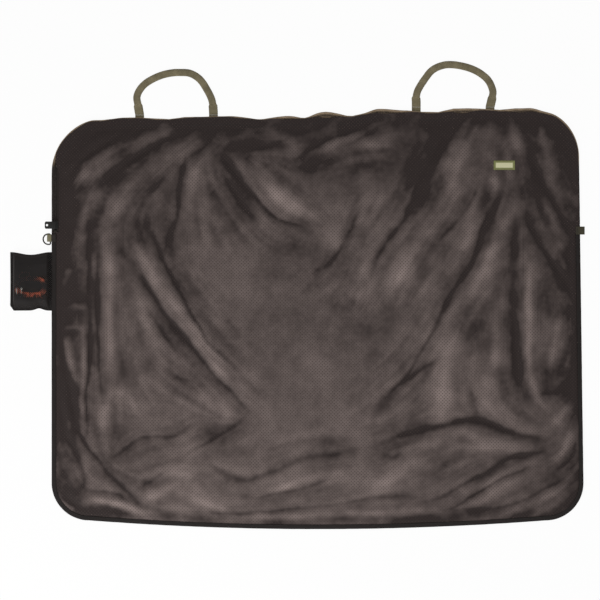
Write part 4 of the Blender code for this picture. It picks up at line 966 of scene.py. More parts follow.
def sheet_grid(name, height, inset_at, step, turn=0.0):
    """A grid of cloth cut to the outline, with its height and its tone. turn is how far the
    mesh is laid off the sack's own axes, in degrees."""
    low = outline.min(axis=0) - step
    high = outline.max(axis=0) + step
    columns = int((high[0] - low[0]) / step) + 1
    rows = int((high[1] - low[1]) / step) + 1
    xs = low[0] + np.arange(columns) * step
    ys = low[1] + np.arange(rows) * step
    points = np.array([(x, y) for y in ys for x in xs])
    distance, direction = edge_distance(points)
    target = inset_at(points)
    inside = distance > target
    faces = [face for face in quads(rows - 1, columns - 1) if any(inside[k] for k in face)]
    used = np.unique(np.array(faces))
    points = points + direction * np.where(inside, 0.0, target - distance)[:, None]
    distance = np.maximum(distance, target)
    number = np.full(len(points), -1)
    number[used] = np.arange(len(used))
    kept = points[used]
    z, tone = height(kept, distance[used])
    uvs = (kept - np.array(SHEET_CORNER)) / SHEET_SPAN
    c, s = math.cos(math.radians(turn)), math.sin(math.radians(turn))
    middle_uv = uvs.mean(axis=0)
    uvs = (uvs - middle_uv) @ np.array([[c, s], [-s, c]]) * (1 - abs(s)) + middle_uv
    faces = [tuple(int(number[i]) for i in face) for face in faces]
    obj = mesh_object(name, np.column_stack([kept, z]), faces, uvs, "OFBake")
    set_tone(obj, tone)
    return obj


front = sheet_grid("front_cloth", cloth_z, rim_inset, GRID_STEP)
finish_piece(front, sack_mesh, None, "front_panel", "mouth_flap", slot="mesh_cloth", smooth=180)
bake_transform(front)


def back_z(points, distance):
    lift = np.interp(distance, [0.0, 0.026, 0.045], [0.0038, 0.0038, 0.0006])
    folds = 0.0008 * rumple(points, 0.050, 5.5) + 0.0004 * rumple(points, 0.02, 1.5)
    z = lift + np.maximum(folds, 0) * smoothstep(0.03, 0.06, distance)
    # Lighter where it bulges and darker where it dips: painted light and shade
    return z, np.clip(0.4 + folds / 0.004, 0.0, 1.0)


def back_inset(points):
    return np.full(len(points), SEWN_INSET)


back = sheet_grid("back_cloth", back_z, back_inset, 0.009, turn=4.0)
finish_piece(back, back_mesh, "sack", "back_panel", slot="mesh_cloth", smooth=180)


def refined(name, node, width, mat, body, slot, angle=32, wider=0.0):
    """A CAD piece with its edges rounded as a mould or press leaves them. wider moves its two
    flanks out along Y and leaves its middle as it is."""
    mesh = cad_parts[node].data.copy()
    mesh.name = name
    work = bmesh.new()
    work.from_mesh(mesh)
    bmesh.ops.remove_doubles(work, verts=work.verts, dist=0.000005)
    flat = math.radians(1.0)
    bmesh.ops.dissolve_limit(work, angle_limit=flat, verts=work.verts, edges=work.edges)
    middle_y = sum(vert.co.y for vert in work.verts) / len(work.verts)
    for vert in work.verts:
        off = vert.co.y - middle_y
        share = float(smoothstep(*FLANK_FROM_MIDDLE, abs(off)))
        vert.co.y += math.copysign(wider * share, off)
    work.to_mesh(mesh)
    work.free()
    drop_uvs(mesh)
    obj = bpy.data.objects.new(name, mesh)
    bpy.context.scene.collection.objects.link(obj)
    rounded(obj, width, angle)
    return finish_piece(obj, mat, body, node, slot=slot, smooth=38)


def wire(name, points, radius, sides, closed=False, flatten=1.0):
    """A round or flattened tube along points, with its place along and around as its weave."""
    points = [Vector(p) for p in points]
    count = len(points)
    angles = [2 * math.pi * k / sides for k in range(sides)]
    rings, uvs = [], []
    length = 0.0
    side = None
    for i, point in enumerate(points):
        after = points[(i + 1) % count] if closed else points[min(i + 1, count - 1)]
        before = points[i - 1] if closed else points[max(i - 1, 0)]
        along = (after - before).normalized()
        side = side or along.cross(Vector((0, 0, 1)))
        side = (side - along * side.dot(along)).normalized()
        up = side.cross(along)
        if i:
            length += (point - points[i - 1]).length
        offsets = [side * math.cos(a) + up * math.sin(a) * flatten for a in angles]
        rings.append([point + offset * radius for offset in offsets])
        uvs += [(length, radius * angle) for angle in angles]
    return tube(name, rings, uvs, closed)


# Pouch, in plan

POUCH_WIDTH = 0.093
POUCH_BOTTOM_Y = 0.028
POUCH_TOP_Y = 0.160
POUCH_MARGIN = 0.006
POUCH_ROWS = 66
POUCH_COLUMNS = 52
POUCH_EDGE_Z = FABRIC + 2 * GAP
POUCH_CORNER = (-0.70, 0.02)
POUCH_MIDDLE = (LEFT_X - GAP - POUCH_WIDTH / 2, 0.094)

# Cord: free tail, hank and the tail to the hook, as one length

CORD_DIAMETER = 0.0025
HANK_RUN = 0.0265
HANK_INNER_RADIUS = 0.0130
HANK_PITCH = 0.0030
HANK_TURNS = 3
HANK_LAYERS = 4
HANK_CENTRE = (LEFT_X - 0.0468, POUCH_BOTTOM_Y + 0.0532)
TURN_POINTS = 24
RUN_POINTS = 4
TAIL_STEP = 0.002
FREE_TAIL_OFFSETS = (
    (0.0085, -0.0008),
    (0.0130, -0.0065),
    (0.0110, -0.0125),
    (0.0020, -0.0165),
    (-0.0100, -0.0170),
)
HOOK_TAIL_OFFSETS = (
    (0.0225, 0.0097, 0.10),
    (0.0247, 0.0137, 0.30),
    (0.0212, 0.0180, 0.50),
    (0.0122, 0.0194, 0.75),
    (0.0037, 0.0160, 0.93),
    (0.0003, 0.0102, 1.0),
)
SLEEVE_RADIUS = 0.0025
SLEEVE_LENGTH = 0.010
SLEEVE_TOP = (LEFT_X - 0.0727, POUCH_BOTTOM_Y + 0.0678)
SLEEVE_SLICES = 12
CRIMPS_AT = (-0.0022, 0.0022)
CRIMP_WIDTH = 0.0011
STRAIGHT = Vector((CORD_DIAMETER, 0, 0))


def hank_halves():
    """Half turns as (radius before, radius after, height before, height after)."""
    bend_share = 1 - RUN_POINTS / (TURN_POINTS // 2)
    radius = HANK_INNER_RADIUS + HANK_TURNS * HANK_PITCH
    height = FABRIC + GAP + CORD_DIAMETER / 2
    halves = []
    for layer in range(HANK_LAYERS):
        step = (-1 if layer % 2 == 0 else 1) * HANK_PITCH / 2
        for _ in range(2 * HANK_TURNS):
            halves.append((radius, radius + step, height, height))
            radius += step
        if layer < HANK_LAYERS - 1:
            halves.append((radius, radius - step * bend_share, height, height + HANK_PITCH))
            radius -= step * bend_share
            height += HANK_PITCH
    return halves


def hank_points():
    half_run = HANK_RUN / 2
    per_half = TURN_POINTS // 2
    bend_steps = per_half - RUN_POINTS
    points = []
    halves = hank_halves()
    for index, (radius0, radius1, low, high) in enumerate(halves):
        sign = 1 if index % 2 == 0 else -1
        for k in range(per_half):
            share = k / per_half
            if high > low:
                share = max(0.0, (k - RUN_POINTS) / bend_steps)
            radius = radius0 + (radius1 - radius0) * share
            if k < RUN_POINTS:
                along = k / RUN_POINTS
                place = (half_run - HANK_RUN * along, -radius, low + (high - low) * along)
            else:
                angle = math.pi * (k - RUN_POINTS) / bend_steps
                place = (-half_run - radius * math.sin(angle), -radius * math.cos(angle), high)
            points.append(Vector((sign * place[0], sign * place[1], place[2])))
    last = Vector((-half_run, halves[-1][1], halves[-1][3]))
    points += [last, last + STRAIGHT]
    centre = Vector((*HANK_CENTRE, 0.0))
    return [p + centre for p in points]


hank = hank_points()
free_tail = [hank[0], hank[0] + STRAIGHT]
free_tail += [hank[0] + Vector((*offset, 0)) for offset in FREE_TAIL_OFFSETS]
sleeve_z = hank_halves()[-1][3] + CORD_DIAMETER / 2 + GAP + SLEEVE_RADIUS
sleeve_end = Vector((*SLEEVE_TOP, sleeve_z))
hook_tail = [hank[-1], hank[-1] + STRAIGHT]
for across, along, share in HOOK_TAIL_OFFSETS:
    z = hank[-1].z + (sleeve_z - hank[-1].z) * share
    hook_tail.append(Vector((SLEEVE_TOP[0] + across, SLEEVE_TOP[1] + along, z)))
hook_tail += [sleeve_end + Vector((0, CORD_DIAMETER, 0)), sleeve_end]
cord_path = smooth_points(free_tail, TAIL_STEP)[::-1] + hank[1:-1]
cord_path += smooth_points(hook_tail, TAIL_STEP)
cord = wire("red_cord", cord_path, CORD_DIAMETER / 2, 8)
finish_piece(
    cord, red_cord, "pouch", "cord_hank", "cord_tail_free", "cord_tail_hook", slot="red_cord",
    smooth=60,
)


def crimped_sleeve():
    """A short steel tube pressed flat in two places."""
    deselect()
    bpy.ops.mesh.primitive_cylinder_add(
        vertices=24, radius=SLEEVE_RADIUS, depth=SLEEVE_LENGTH, rotation=(math.pi / 2, 0, 0)
    )
    obj = bpy.context.object
    obj.name = "crimped_sleeve"
    bpy.ops.object.transform_apply(rotation=True)
    work = bmesh.new()
    work.from_mesh(obj.data)
    for k in range(1, SLEEVE_SLICES):
        at = (0, SLEEVE_LENGTH * (k / SLEEVE_SLICES - 0.5), 0)
        every = [*work.verts, *work.edges, *work.faces]
        bmesh.ops.bisect_plane(work, geom=every, plane_co=at, plane_no=(0, 1, 0))
    for vert in work.verts:
        pinch = sum(math.exp(-(((vert.co.y - y) / CRIMP_WIDTH) ** 2)) for y in CRIMPS_AT)
        vert.co.x *= 1 - 0.22 * pinch
        vert.co.z *= 1 - 0.10 * pinch
    middle = sleeve_end.xy - Vector((0, SLEEVE_LENGTH / 2))
    bmesh.ops.translate(work, verts=work.verts, vec=(*middle, sleeve_z))
    work.to_mesh(obj.data)
    work.free()
    rounded(obj, 0.0003, 60)
    return finish_piece(obj, nickel_steel, "pouch", "cord_sleeve", slot="bright_steel", smooth=40)


sleeve = crimped_sleeve()
hook = refined("snap_hook", "hook_frame", 0.00025, nickel_steel, "pouch", "bright_steel", angle=50)
gate = refined("snap_hook_gate", "hook_gate", 0.0001, nickel_steel, "gate", "bright_steel")
rivet = refined("snap_hook_rivet", "hook_rivet", 0.00012, nickel_steel, "pouch", "bright_steel")

# Pouch


def pouch_floor_y(share):
    cut = 0.011 * max(0.0, 1 - share / 0.08)
    return POUCH_BOTTOM_Y + cut + 0.005 * math.exp(-(((share - 0.70) / 0.12) ** 2))


def pouch_mouth_y(share):
    return POUCH_TOP_Y - 0.006 * math.sin(math.pi * share) ** 2


def pouch_place(across, up):
    """Where a point of the pouch lies, from its shares of the width and of the depth."""
    low_y = pouch_floor_y(across)
    y = low_y + (pouch_mouth_y(across) - low_y) * up
    return LEFT_X - GAP - POUCH_WIDTH * (1 - across), y


def pouch_rise(across, up):
    """Share of the full height: steep sides, rounded bottom, lower at the mouth."""
    margin = POUCH_MARGIN / POUCH_WIDTH
    inside = (across - margin) / (1 - 2 * margin)
    side = min(1.0, max(0.0, min(inside, 1 - inside)) / 0.06)
    bottom = min(1.0, max(0.0, up - 0.05) / 0.14)
    mouth = 1.0 - 0.45 * max(0.0, up - 0.8) / 0.2
    return math.sin(side * math.pi / 2) * math.sin(bottom * math.pi / 2) * mouth


def pouch_front_z(x, y, share):
    """The cloth sags onto the hank and is held up again by the hook."""
    beside = math.exp(-(((x + 0.668) / 0.020) ** 2))
    window = float(smoothstep(0.035, 0.058, y) * (1 - smoothstep(0.112, 0.140, y)))
    crown = 0.0152 + 0.0046 * beside * window
    return POUCH_EDGE_Z + (crown - POUCH_EDGE_Z) * share


def pouch_tightness(x, y):
    """Tight over the cord's two runs and over the hook, where its holes open wider and its threads
    get painted light; slack and doubled elsewhere.
    """
    broken = max(0.0, 0.74 + 1.4 * noise.noise(Vector((x * 190, y * 120, 8.8))))
    high_run = math.exp(-(((y - 0.1000) / 0.0062) ** 2)) * float(smoothstep(-0.640, -0.618, x))
    low_run = math.exp(-(((y - 0.0655) / 0.0085) ** 2)) * float(smoothstep(-0.660, -0.654, x))
    before_side = float(1 - smoothstep(-0.610, -0.603, x))
    shown = max(high_run * broken * before_side, low_run * broken * before_side)
    # Over the hook's legs the mesh opens on the metal and its threads get a painted highlight
    legs = math.exp(-(((abs(x + 0.6683) - 0.0056) / 0.0034) ** 2))
    glint = legs * math.exp(-(((y - 0.0722) / 0.0062) ** 4))
    mottled = 0.16 * max(0.0, noise.noise(Vector((x * 320, y * 320, 2.2))))
    return 0.03 + mottled + 0.85 * min(1.0, max(shown, 1.6 * glint))


def pouch_sheet(name, front):
    verts, uvs = [], []
    for r in range(POUCH_ROWS + 1):
        up = r / POUCH_ROWS
        for c in range(POUCH_COLUMNS + 1):
            across = 0.5 - 0.5 * math.cos(math.pi * c / POUCH_COLUMNS)
            across = 0.6 * across + 0.4 * c / POUCH_COLUMNS
            x, y = pouch_place(across, up)
            wrinkle = noise.noise(Vector((x * 70, y * 55, 4.4)))
            if front:
                share = pouch_rise(across, up)
                pleat = abs(noise.noise(Vector((x * 30, y * 90, 1.1))))
                z = pouch_front_z(x, y, share) + (0.0006 * wrinkle + 0.0007 * pleat) * share
            else:
                z = 0.0005 + 0.0002 * wrinkle
            verts.append((x, y, z))
            uvs.append(((x - POUCH_CORNER[0]) / POUCH_SPAN, (y - POUCH_CORNER[1]) / POUCH_SPAN))
    obj = mesh_object(name, verts, quads(POUCH_ROWS, POUCH_COLUMNS), uvs, "OFBake")
    set_tone(obj, [pouch_tightness(x, y) for x, y, _ in verts])
    return obj


pouch_back = pouch_sheet("pouch_back_cloth", False)
finish_piece(pouch_back, pouch_floor_mesh, "pouch", "pouch_back", slot="mesh_cloth", smooth=180)
pouch_front = pouch_sheet("pouch_front_cloth", True)
finish_piece(pouch_front, pouch_mesh, "pouch", "pouch_front", slot="mesh_cloth", smooth=180)
HEM_ROWS = 6
HEM_COLUMNS = 120
# Where the hem lies, as shares of the pouch's width and depth: from, and how far on
HEM_ACROSS = (0.066, 0.868)
HEM_UP = (0.936, 0.064)


def pouch_hem():
    """Elastic tape sewn along the mouth, gathered into small ruffles."""
    verts = []
    for r in range(HEM_ROWS + 1):
        up = HEM_UP[0] + HEM_UP[1] * r / HEM_ROWS
        crown = 1 - abs(2 * r / HEM_ROWS - 1) ** 3
        for c in range(HEM_COLUMNS + 1):
            across = HEM_ACROSS[0] + HEM_ACROSS[1] * c / HEM_COLUMNS
            x, y = pouch_place(across, up)
            z = pouch_front_z(x, y, pouch_rise(across, up))
            ruffle = math.sin(x * 900 + 2 * noise.noise(Vector((x * 40, 0, 0))))
            verts.append((x, y, z + 0.0009 + (0.0006 + 0.00035 * ruffle) * crown))
    uvs = [vert[:2] for vert in verts]
    obj = mesh_object("pouch_elastic_hem", verts, quads(HEM_ROWS, HEM_COLUMNS), uvs)
    thickened(obj, 0.0008, -1.0)
    return finish_piece(obj, binding_tape, "pouch", "pouch_elastic", slot="dark_tape", smooth=50)


hem = pouch_hem()

EDGE_UP_STEPS = 14
EDGE_ACROSS_STEPS = 30
PIPING_RADIUS = 0.0011


def pouch_edge(height, inset):
    """The pouch's outline from its mouth's outer corner, round the bottom, to the sack, at a
    height and moved in towards its middle."""
    shares = [(0.0, 1 - k / EDGE_UP_STEPS) for k in range(EDGE_UP_STEPS)]
    shares += [(k / EDGE_ACROSS_STEPS, 0.0) for k in range(EDGE_ACROSS_STEPS + 1)]
    middle = Vector((*POUCH_MIDDLE, height))
    points = [Vector((*pouch_place(across, up), height)) for across, up in shares]
    return [p + (middle - p).normalized() * inset for p in points]


piping_line = smooth_points(pouch_edge(0.0013, PIPING_RADIUS), 0.002)
piping = wire("pouch_piping", piping_line, PIPING_RADIUS, 10, flatten=0.8)
finish_piece(piping, binding_tape, "pouch", slot="dark_tape", smooth=60)
seam = pouch_edge(0.0026, 0.0036)
stitches("pouch_seam_stitches", [seam], dark_thread, "pouch", pitch=0.0028, length=0.0021)

# Edge binding, zip tapes and coils

BAND_STEP = 0.006
BINDING_STITCH_INSET = 0.0078
binding_path = even_path(lower_rim(ZIP_LEFT_END_Y - GAP, ZIP_RIGHT_END_Y - GAP), BAND_STEP)
binding_section = [
    (0.0100, 0.0021), (0.0100, 0.0029), (0.0010, 0.0029), (0.0009, 0.0062), (0.0060, 0.0064),
    (0.0094, 0.0062), (0.0096, 0.0070), (0.0060, 0.0072), (0.0014, 0.0070), (0.0004, 0.0065),
    (0.0, 0.0057), (0.0, 0.0034), (0.0004, 0.0026), (0.0014, 0.0021),
]
binding = band("edge_binding_tape", binding_path, binding_section, ripple=0.0002)
finish_piece(binding, binding_tape, "sack", "edge_binding", slot="dark_tape", smooth=50)


def inset_route(path, inset, z):
    return [Vector((*(p + n * inset), z)) for p, n in zip(path, inward(path))]


binding_rows = [inset_route(binding_path, BINDING_STITCH_INSET, z) for z in (0.0073, 0.0020)]
stitches("binding_stitches", binding_rows, dark_thread, "sack")

zip_path = even_path(upper_rim(ZIP_LEFT_END_Y, ZIP_RIGHT_END_Y), BAND_STEP)
outer_leg = ZIP_CENTRE - 0.0032 - GAP
outer_section = [
    (SLOPE_FOOT, 0.0021), (SLOPE_FOOT, 0.0029), (0.0010, 0.0029), (0.0009, 0.0054),
    (outer_leg, ZIP_TAPE_Z), (outer_leg, ZIP_TAPE_Z + TAPE), (0.0014, 0.0063), (0.0004, 0.0058),
    (0.0, 0.0051), (0.0, 0.0033), (0.0004, 0.0025), (0.0014, 0.0021),
]
outer_tape = band("zip_outer_tape", zip_path, outer_section, ripple=0.0003)
finish_piece(outer_tape, zip_tape, "sack", "zip_tape_outer", slot="zip_tape", smooth=50)

inner_leg = ZIP_CENTRE + 0.0035
inner_section = [
    (inner_leg, ZIP_TAPE_Z), (SLOPE_FOOT, ZIP_TAPE_Z),
    (SLOPE_FOOT, ZIP_TAPE_Z + TAPE), (inner_leg, ZIP_TAPE_Z + TAPE),
]
fold_low = FOLD_Y - GAP / 2
fold_high = FOLD_Y + GAP / 2
left_fold = (LEFT_X, fold_low)
right_fold = (right_edge_x(fold_low), fold_low)
right_end_x = right_edge_x(ZIP_RIGHT_END_Y)
for name, node, body, path in (
    ("zip_inner_tape", "zip_tape_inner", "flap", upper_rim(fold_high, fold_high)),
    ("zip_inner_tape_left", "zip_tape_left_end", "sack", [(LEFT_X, ZIP_LEFT_END_Y), left_fold]),
    (
        "zip_inner_tape_right", "zip_tape_right_end", "sack",
        [right_fold, (right_end_x, ZIP_RIGHT_END_Y)],
    ),
):
    tape = band(name, even_path(path, BAND_STEP), inner_section)
    finish_piece(tape, inner_zip_tape, body, node, slot="zip_tape", smooth=50)

COIL_PITCH = 0.0026
COIL_BEAD = (0.0013, 0.0028, 0.0022)
COIL_STEP = 0.002
OUTER_COIL = 0.0062
INNER_COIL = ZIP_CENTRE + 0.0018
STOP_ROOM = 0.004 + 2 * GAP
HALF_TURN = COIL_PITCH / 2


def coil_row(name, path, inset, body, node, shift=0.0):
    """A row of the zip's coil: a bead of nylon for each turn, drawn at twice its real pitch."""
    route = inset_route(even_path(path, COIL_STEP), inset, (COIL_Z + COIL_TOP_Z) / 2)
    places = stitch_places(route, COIL_PITCH)
    places = [(place + along * shift, along, up) for place, along, up in places]
    row = copies_along(name, bead(8, 5, COIL_BEAD), places[1:-1] or places)
    return finish_piece(row, nylon_coil, body, node, slot="zip_coil", smooth=70)


left_start = ZIP_LEFT_END_Y + STOP_ROOM
right_start = ZIP_RIGHT_END_Y + STOP_ROOM
outer_line = upper_rim(left_start, right_start)
inner_line = upper_rim(fold_high, fold_high)
left_line = [(LEFT_X, left_start), left_fold]
right_line = [right_fold, (right_end_x, right_start)]
coil_row("zip_coil_outer_row", outer_line, OUTER_COIL, "sack", "zip_coil_outer")
coil_row("zip_coil_inner_row", inner_line, INNER_COIL, "flap", "zip_coil_inner", HALF_TURN)
coil_row("zip_coil_left_row", left_line, INNER_COIL, "sack", "zip_coil_left_end", HALF_TURN)
coil_row("zip_coil_right_row", right_line, INNER_COIL, "sack", "zip_coil_right_end")

for side in ("left", "right"):
    name, node = f"zip_end_stop_{side}", f"zip_stop_{side}"
    refined(name, node, 0.0004, black_nickel, "sack", "bright_steel")
refined("slider_body", "zip_slider", 0.0003, dark_acetal, "slider", "dark_moulding")
refined(
    "slider_puller", "zip_puller", 0.0005, dark_acetal, "puller", "dark_moulding", wider=0.0022
)

# Handles

HANDLE_SPAN = 0.1665
HANDLE_RISE = 0.0955
WEBBING = 0.0018
WEBBING_WIDTH = 0.020
GRIP_THICKNESS = 0.005
GRIP_WIDTH = 0.0165
LEFT_HANDLE_SHAPE = (
    (-0.500, 0.0), (-0.512, 0.12), (-0.524, 0.25), (-0.537, 0.428), (-0.490, 0.61),
    (-0.401, 0.765), (-0.250, 0.905), (-0.103, 0.979), (0.041, 1.0), (0.190, 0.975),
    (0.322, 0.826), (0.421, 0.567), (0.472, 0.382), (0.490, 0.25), (0.497, 0.12), (0.500, 0.0),
)
RIGHT_HANDLE_SHAPE = (
    (-0.500, 0.0), (-0.500, 0.12), (-0.500, 0.245), (-0.470, 0.42), (-0.374, 0.682),
    (-0.285, 0.865), (-0.165, 0.970), (-0.026, 1.0), (0.165, 0.946), (0.332, 0.831),
    (0.469, 0.640), (0.535, 0.400), (0.530, 0.23), (0.515, 0.11), (0.500, 0.0),
)
SEAM_SHARE = 0.23
SEAM_HALF = 0.012
STRIP_SIDES = 20
# Stitching of the grip: distance in from its middle line, height
GRIP_STITCH_INSET = 0.0058
GRIP_STITCH_Z = 0.0044
# The feet: how far they reach under the edge, thickness, and their box of stitches
FOOT_DEPTH = 0.030
FOOT_STEPS = 16
FOOT_THICKNESS = 0.0015
BOX_HALF = 0.0075
BOX_LOW = 0.003
BOX_HIGH = 0.024


def webbing_strip(name, points, widths, thicknesses, rounding):
    """Webbing lying on the floor, from flat with square edges to a rolled, rounded grip."""
    rings, uvs = [], []
    length = 0.0
    for i, point in enumerate(points):
        along = heading(points, i)
        if i in (0, len(points) - 1) and abs(along.x) < 0.5:
            along = Vector((0, math.copysign(1, along.y), 0))
        side = Vector((along.y, -along.x, 0))
        if i:
            length += (point - points[i - 1]).length
        power = 0.22 + 0.5 * rounding[i]
        ring = []
        for k in range(STRIP_SIDES):
            angle = 2 * math.pi * (k + 0.5) / STRIP_SIDES
            c, s = math.cos(angle), math.sin(angle)
            x = math.copysign(abs(c) ** power, c) * widths[i] / 2
            z = (math.copysign(abs(s) ** power, s) + 1) * thicknesses[i] / 2
            lay = 0.0002 * noise.noise(Vector((length * 90, k * 0.7, 3.0))) * rounding[i]
            ring.append(point + side * (x + lay) + Vector((0, 0, max(0.0, z + lay))))
            uvs.append((length, widths[i] * (angle / math.pi)))
        rings.append(ring)
    return tube(name, rings, uvs)


def handle_strip(side, body, points, rolled):
    """A handle with its stitching: one row along the grip and one across each of its ends."""
    widths = [WEBBING_WIDTH + (GRIP_WIDTH - WEBBING_WIDTH) * r for r in rolled]
    thicknesses = [WEBBING + (GRIP_THICKNESS - WEBBING) * r for r in rolled]
    strip = webbing_strip(f"webbing_handle_{side}", points, widths, thicknesses, rolled)
    finish_piece(strip, olive_webbing, body, f"handle_{side}", slot="olive_webbing", smooth=45)
    grip = [p for p, r in zip(points, rolled) if r > 0.98]
    up = Vector((0, 0, GRIP_STITCH_Z))
    rows = [[p + Vector((*n, 0)) * GRIP_STITCH_INSET + up for p, n in zip(grip, inward(grip))]]
    marked = list(zip(points, rolled))
    for ordered in (marked, marked[::-1]):
        seam_at = next(p for p, r in ordered if r > 0.02)
        rows.append([seam_at + Vector((x, -0.001, 0.0019)) for x in (-0.008, 0.008)])
    stitches(f"handle_stitches_{side}", rows, olive_thread, body, pitch=0.0034)


def handle_foot(side, end, x, high_y):
    """A foot of a handle, sewn to the back with a crossed box."""
    low_y = top_edge_y(x) - FOOT_DEPTH
    count = FOOT_STEPS + 1
    ys = [low_y + (high_y - low_y) * k / FOOT_STEPS for k in range(count)]
    points = [Vector((x, y, 0.0003)) for y in ys]
    sizes = [[size] * count for size in (WEBBING_WIDTH, FOOT_THICKNESS, 0.0)]
    foot = webbing_strip(f"webbing_foot_{side}_{end}", points, *sizes)
    node = f"handle_{side}_foot_{end}"
    finish_piece(foot, olive_webbing, "sack", node, slot="olive_webbing", smooth=45)
    corners = ((-1, BOX_LOW), (1, BOX_LOW), (1, BOX_HIGH), (-1, BOX_HIGH))
    a, b, c, d = [Vector((x + way * BOX_HALF, low_y + up, 0.00025)) for way, up in corners]
    box = [[a, b, c, d, a], [a, c], [b, d]]
    stitches(f"foot_stitches_{side}_{end}", box, olive_thread, "sack", height=0.0005)


for side, centre, shape, feet in (
    ("left", LEFT_X + 0.2815, LEFT_HANDLE_SHAPE, ("outer", "inner")),
    ("right", RIGHT_X - 0.2837, RIGHT_HANDLE_SHAPE, ("inner", "outer")),
):
    ends = (centre - HANDLE_SPAN / 2, centre + HANDLE_SPAN / 2)
    axis_y = max(top_edge_y(x) for x in ends) + 0.004
    start_y = axis_y + GAP / 2
    line = [(centre + x * HANDLE_SPAN, start_y + y * HANDLE_RISE, 0.0) for x, y in shape]
    points = smooth_points(line, 0.003)
    shares = [(p.y - start_y) / HANDLE_RISE for p in points]
    seam_ends = (SEAM_SHARE - SEAM_HALF, SEAM_SHARE + SEAM_HALF)
    rolled = [float(smoothstep(*seam_ends, share)) for share in shares]
    handle_strip(side, f"{side}_grip", points, rolled)
    for end, x in zip(feet, ends):
        handle_foot(side, end, x, axis_y - GAP / 2)

# Side loops and ring

LOOP_WIDTH = 0.018
LOOP_WEBBING = 0.0012
LOOP_REACH = 0.0105
LOOP_COLUMNS = 12
TACK_INSET = 0.0065
TACK_HALF = 0.007


def loop_strip(name, edge_x, y, sign, mat, node, width=LOOP_WIDTH):
    """A short strip of webbing folded over the edge, open at its fold."""
    low = TAPE_UNDER_Z - GAP
    high = BINDING_TOP_Z + TAPE + GAP
    inner = (high - low) / 2
    bend = (edge_x - sign * (LOOP_REACH - inner - LOOP_WEBBING), (low + high) / 2)
    leg_x = edge_x + sign * (BINDING_LEG - 0.0005)
    line = [(leg_x, low - LOOP_WEBBING / 2)]
    line += arc(bend, inner + LOOP_WEBBING / 2, 270, 270 - 180 * sign, 20)
    line.append((leg_x, high + LOOP_WEBBING / 2))
    line = even_path([(px, 0.0, pz) for px, pz in line], 0.0015)
    verts, uvs = [], []
    length = 0.0
    for i, point in enumerate(line):
        if i:
            length += (point - line[i - 1]).length
        for c in range(LOOP_COLUMNS + 1):
            across = c / LOOP_COLUMNS - 0.5
            verts.append((point.x, y + across * width, point.z))
            uvs.append((length, across * width))
    obj = mesh_object(name, verts, quads(len(line) - 1, LOOP_COLUMNS), uvs)
    rounded(thickened(obj, LOOP_WEBBING, 0.0), 0.0003, 50)
    finish_piece(obj, mat, "sack", node, slot="olive_webbing", smooth=45)
    top = high + LOOP_WEBBING + 0.0001
    tack_x = edge_x + sign * TACK_INSET
    rows = [
        [Vector((tack_x + sign * dx, y + end, top)) for end in (-TACK_HALF, TACK_HALF)]
        for dx in (-0.0012, 0.0, 0.0012)
    ]
    stitches(name + "_tack", rows, dark_thread, "sack", pitch=0.0022, length=0.0018)
    return obj


loop_strip(
    "webbing_loop_left", LEFT_X, 0.1915, 1, left_loop_webbing, "side_loop_left", width=0.0165
)
loop_strip(
    "webbing_loop_right", right_edge_x(0.2085), 0.2085, -1, right_loop_webbing, "side_loop_right"
)

# The ring's line is the middle of its wire: a half circle closed by a straight bar
RING_HALF = (0.0206 + 0.0028) / 2
RING_CORNER = 0.003
RING_FLANK = RING_HALF - RING_CORNER
ring_line = arc((-RING_CORNER, RING_FLANK), RING_CORNER, 0, 90, 8)
ring_line += arc((RING_HALF - 0.0165, 0.0), RING_HALF, 90, 270, 40)
ring_line += arc((-RING_CORNER, -RING_FLANK), RING_CORNER, 270, 360, 8)
ring_place = Vector((LEFT_X - 0.0026, 0.1890, (TAPE_UNDER_Z + BINDING_TOP_Z + TAPE) / 2))
ring_path = [ring_place + Vector((x, y, 0)) for x, y in ring_line]
ring = wire("steel_d_ring", ring_path, 0.0016, 16, closed=True)
finish_piece(ring, black_nickel, "ring", "d_ring", slot="bright_steel", smooth=60)

# Woven label, bare


def label_look():
    """Damask label: fine satin threads, a darker woven border, nothing woven in its middle."""
    mat, tree, shader = material("woven_damask_label", Roughness=0.6, IOR=1.5, Sheen_Weight=0.3)
    split = add(tree, "SeparateXYZ", add(tree, "UVMap", uv_map="weave"), out=None)
    gaps = []
    for axis, half in zip(("X", "Y"), LABEL_HALF):
        off = add(tree, "Math", split.outputs[axis], operation="ABSOLUTE")
        gaps.append(add(tree, "Math", half, off, operation="SUBTRACT"))
    border = add(tree, "MapRange", add(tree, "Math", *gaps, operation="MINIMUM"), 0.0040, 0.0056)
    threads = (split.outputs["X"], 2 * math.pi / 0.0011)
    picks = (split.outputs["Y"], 2 * math.pi / 0.0009)
    height = add(tree, "MapRange", crossed_waves(tree, threads, picks), -1.0, 1.0)
    tones = (("A", rgb("#7d8146")), ("B", rgb("#e6e3b6")))
    ground = add(tree, "Mix", ("Factor", border), *tones, **COLOUR)
    shading = (("Factor", 0.30), ("A", ground), ("B", height))
    shaded = add(tree, "Mix", *shading, blend_type="MULTIPLY", **COLOUR)
    put_on(tree, shader, shaded, height, 0.5, 0.0003)
    return mat


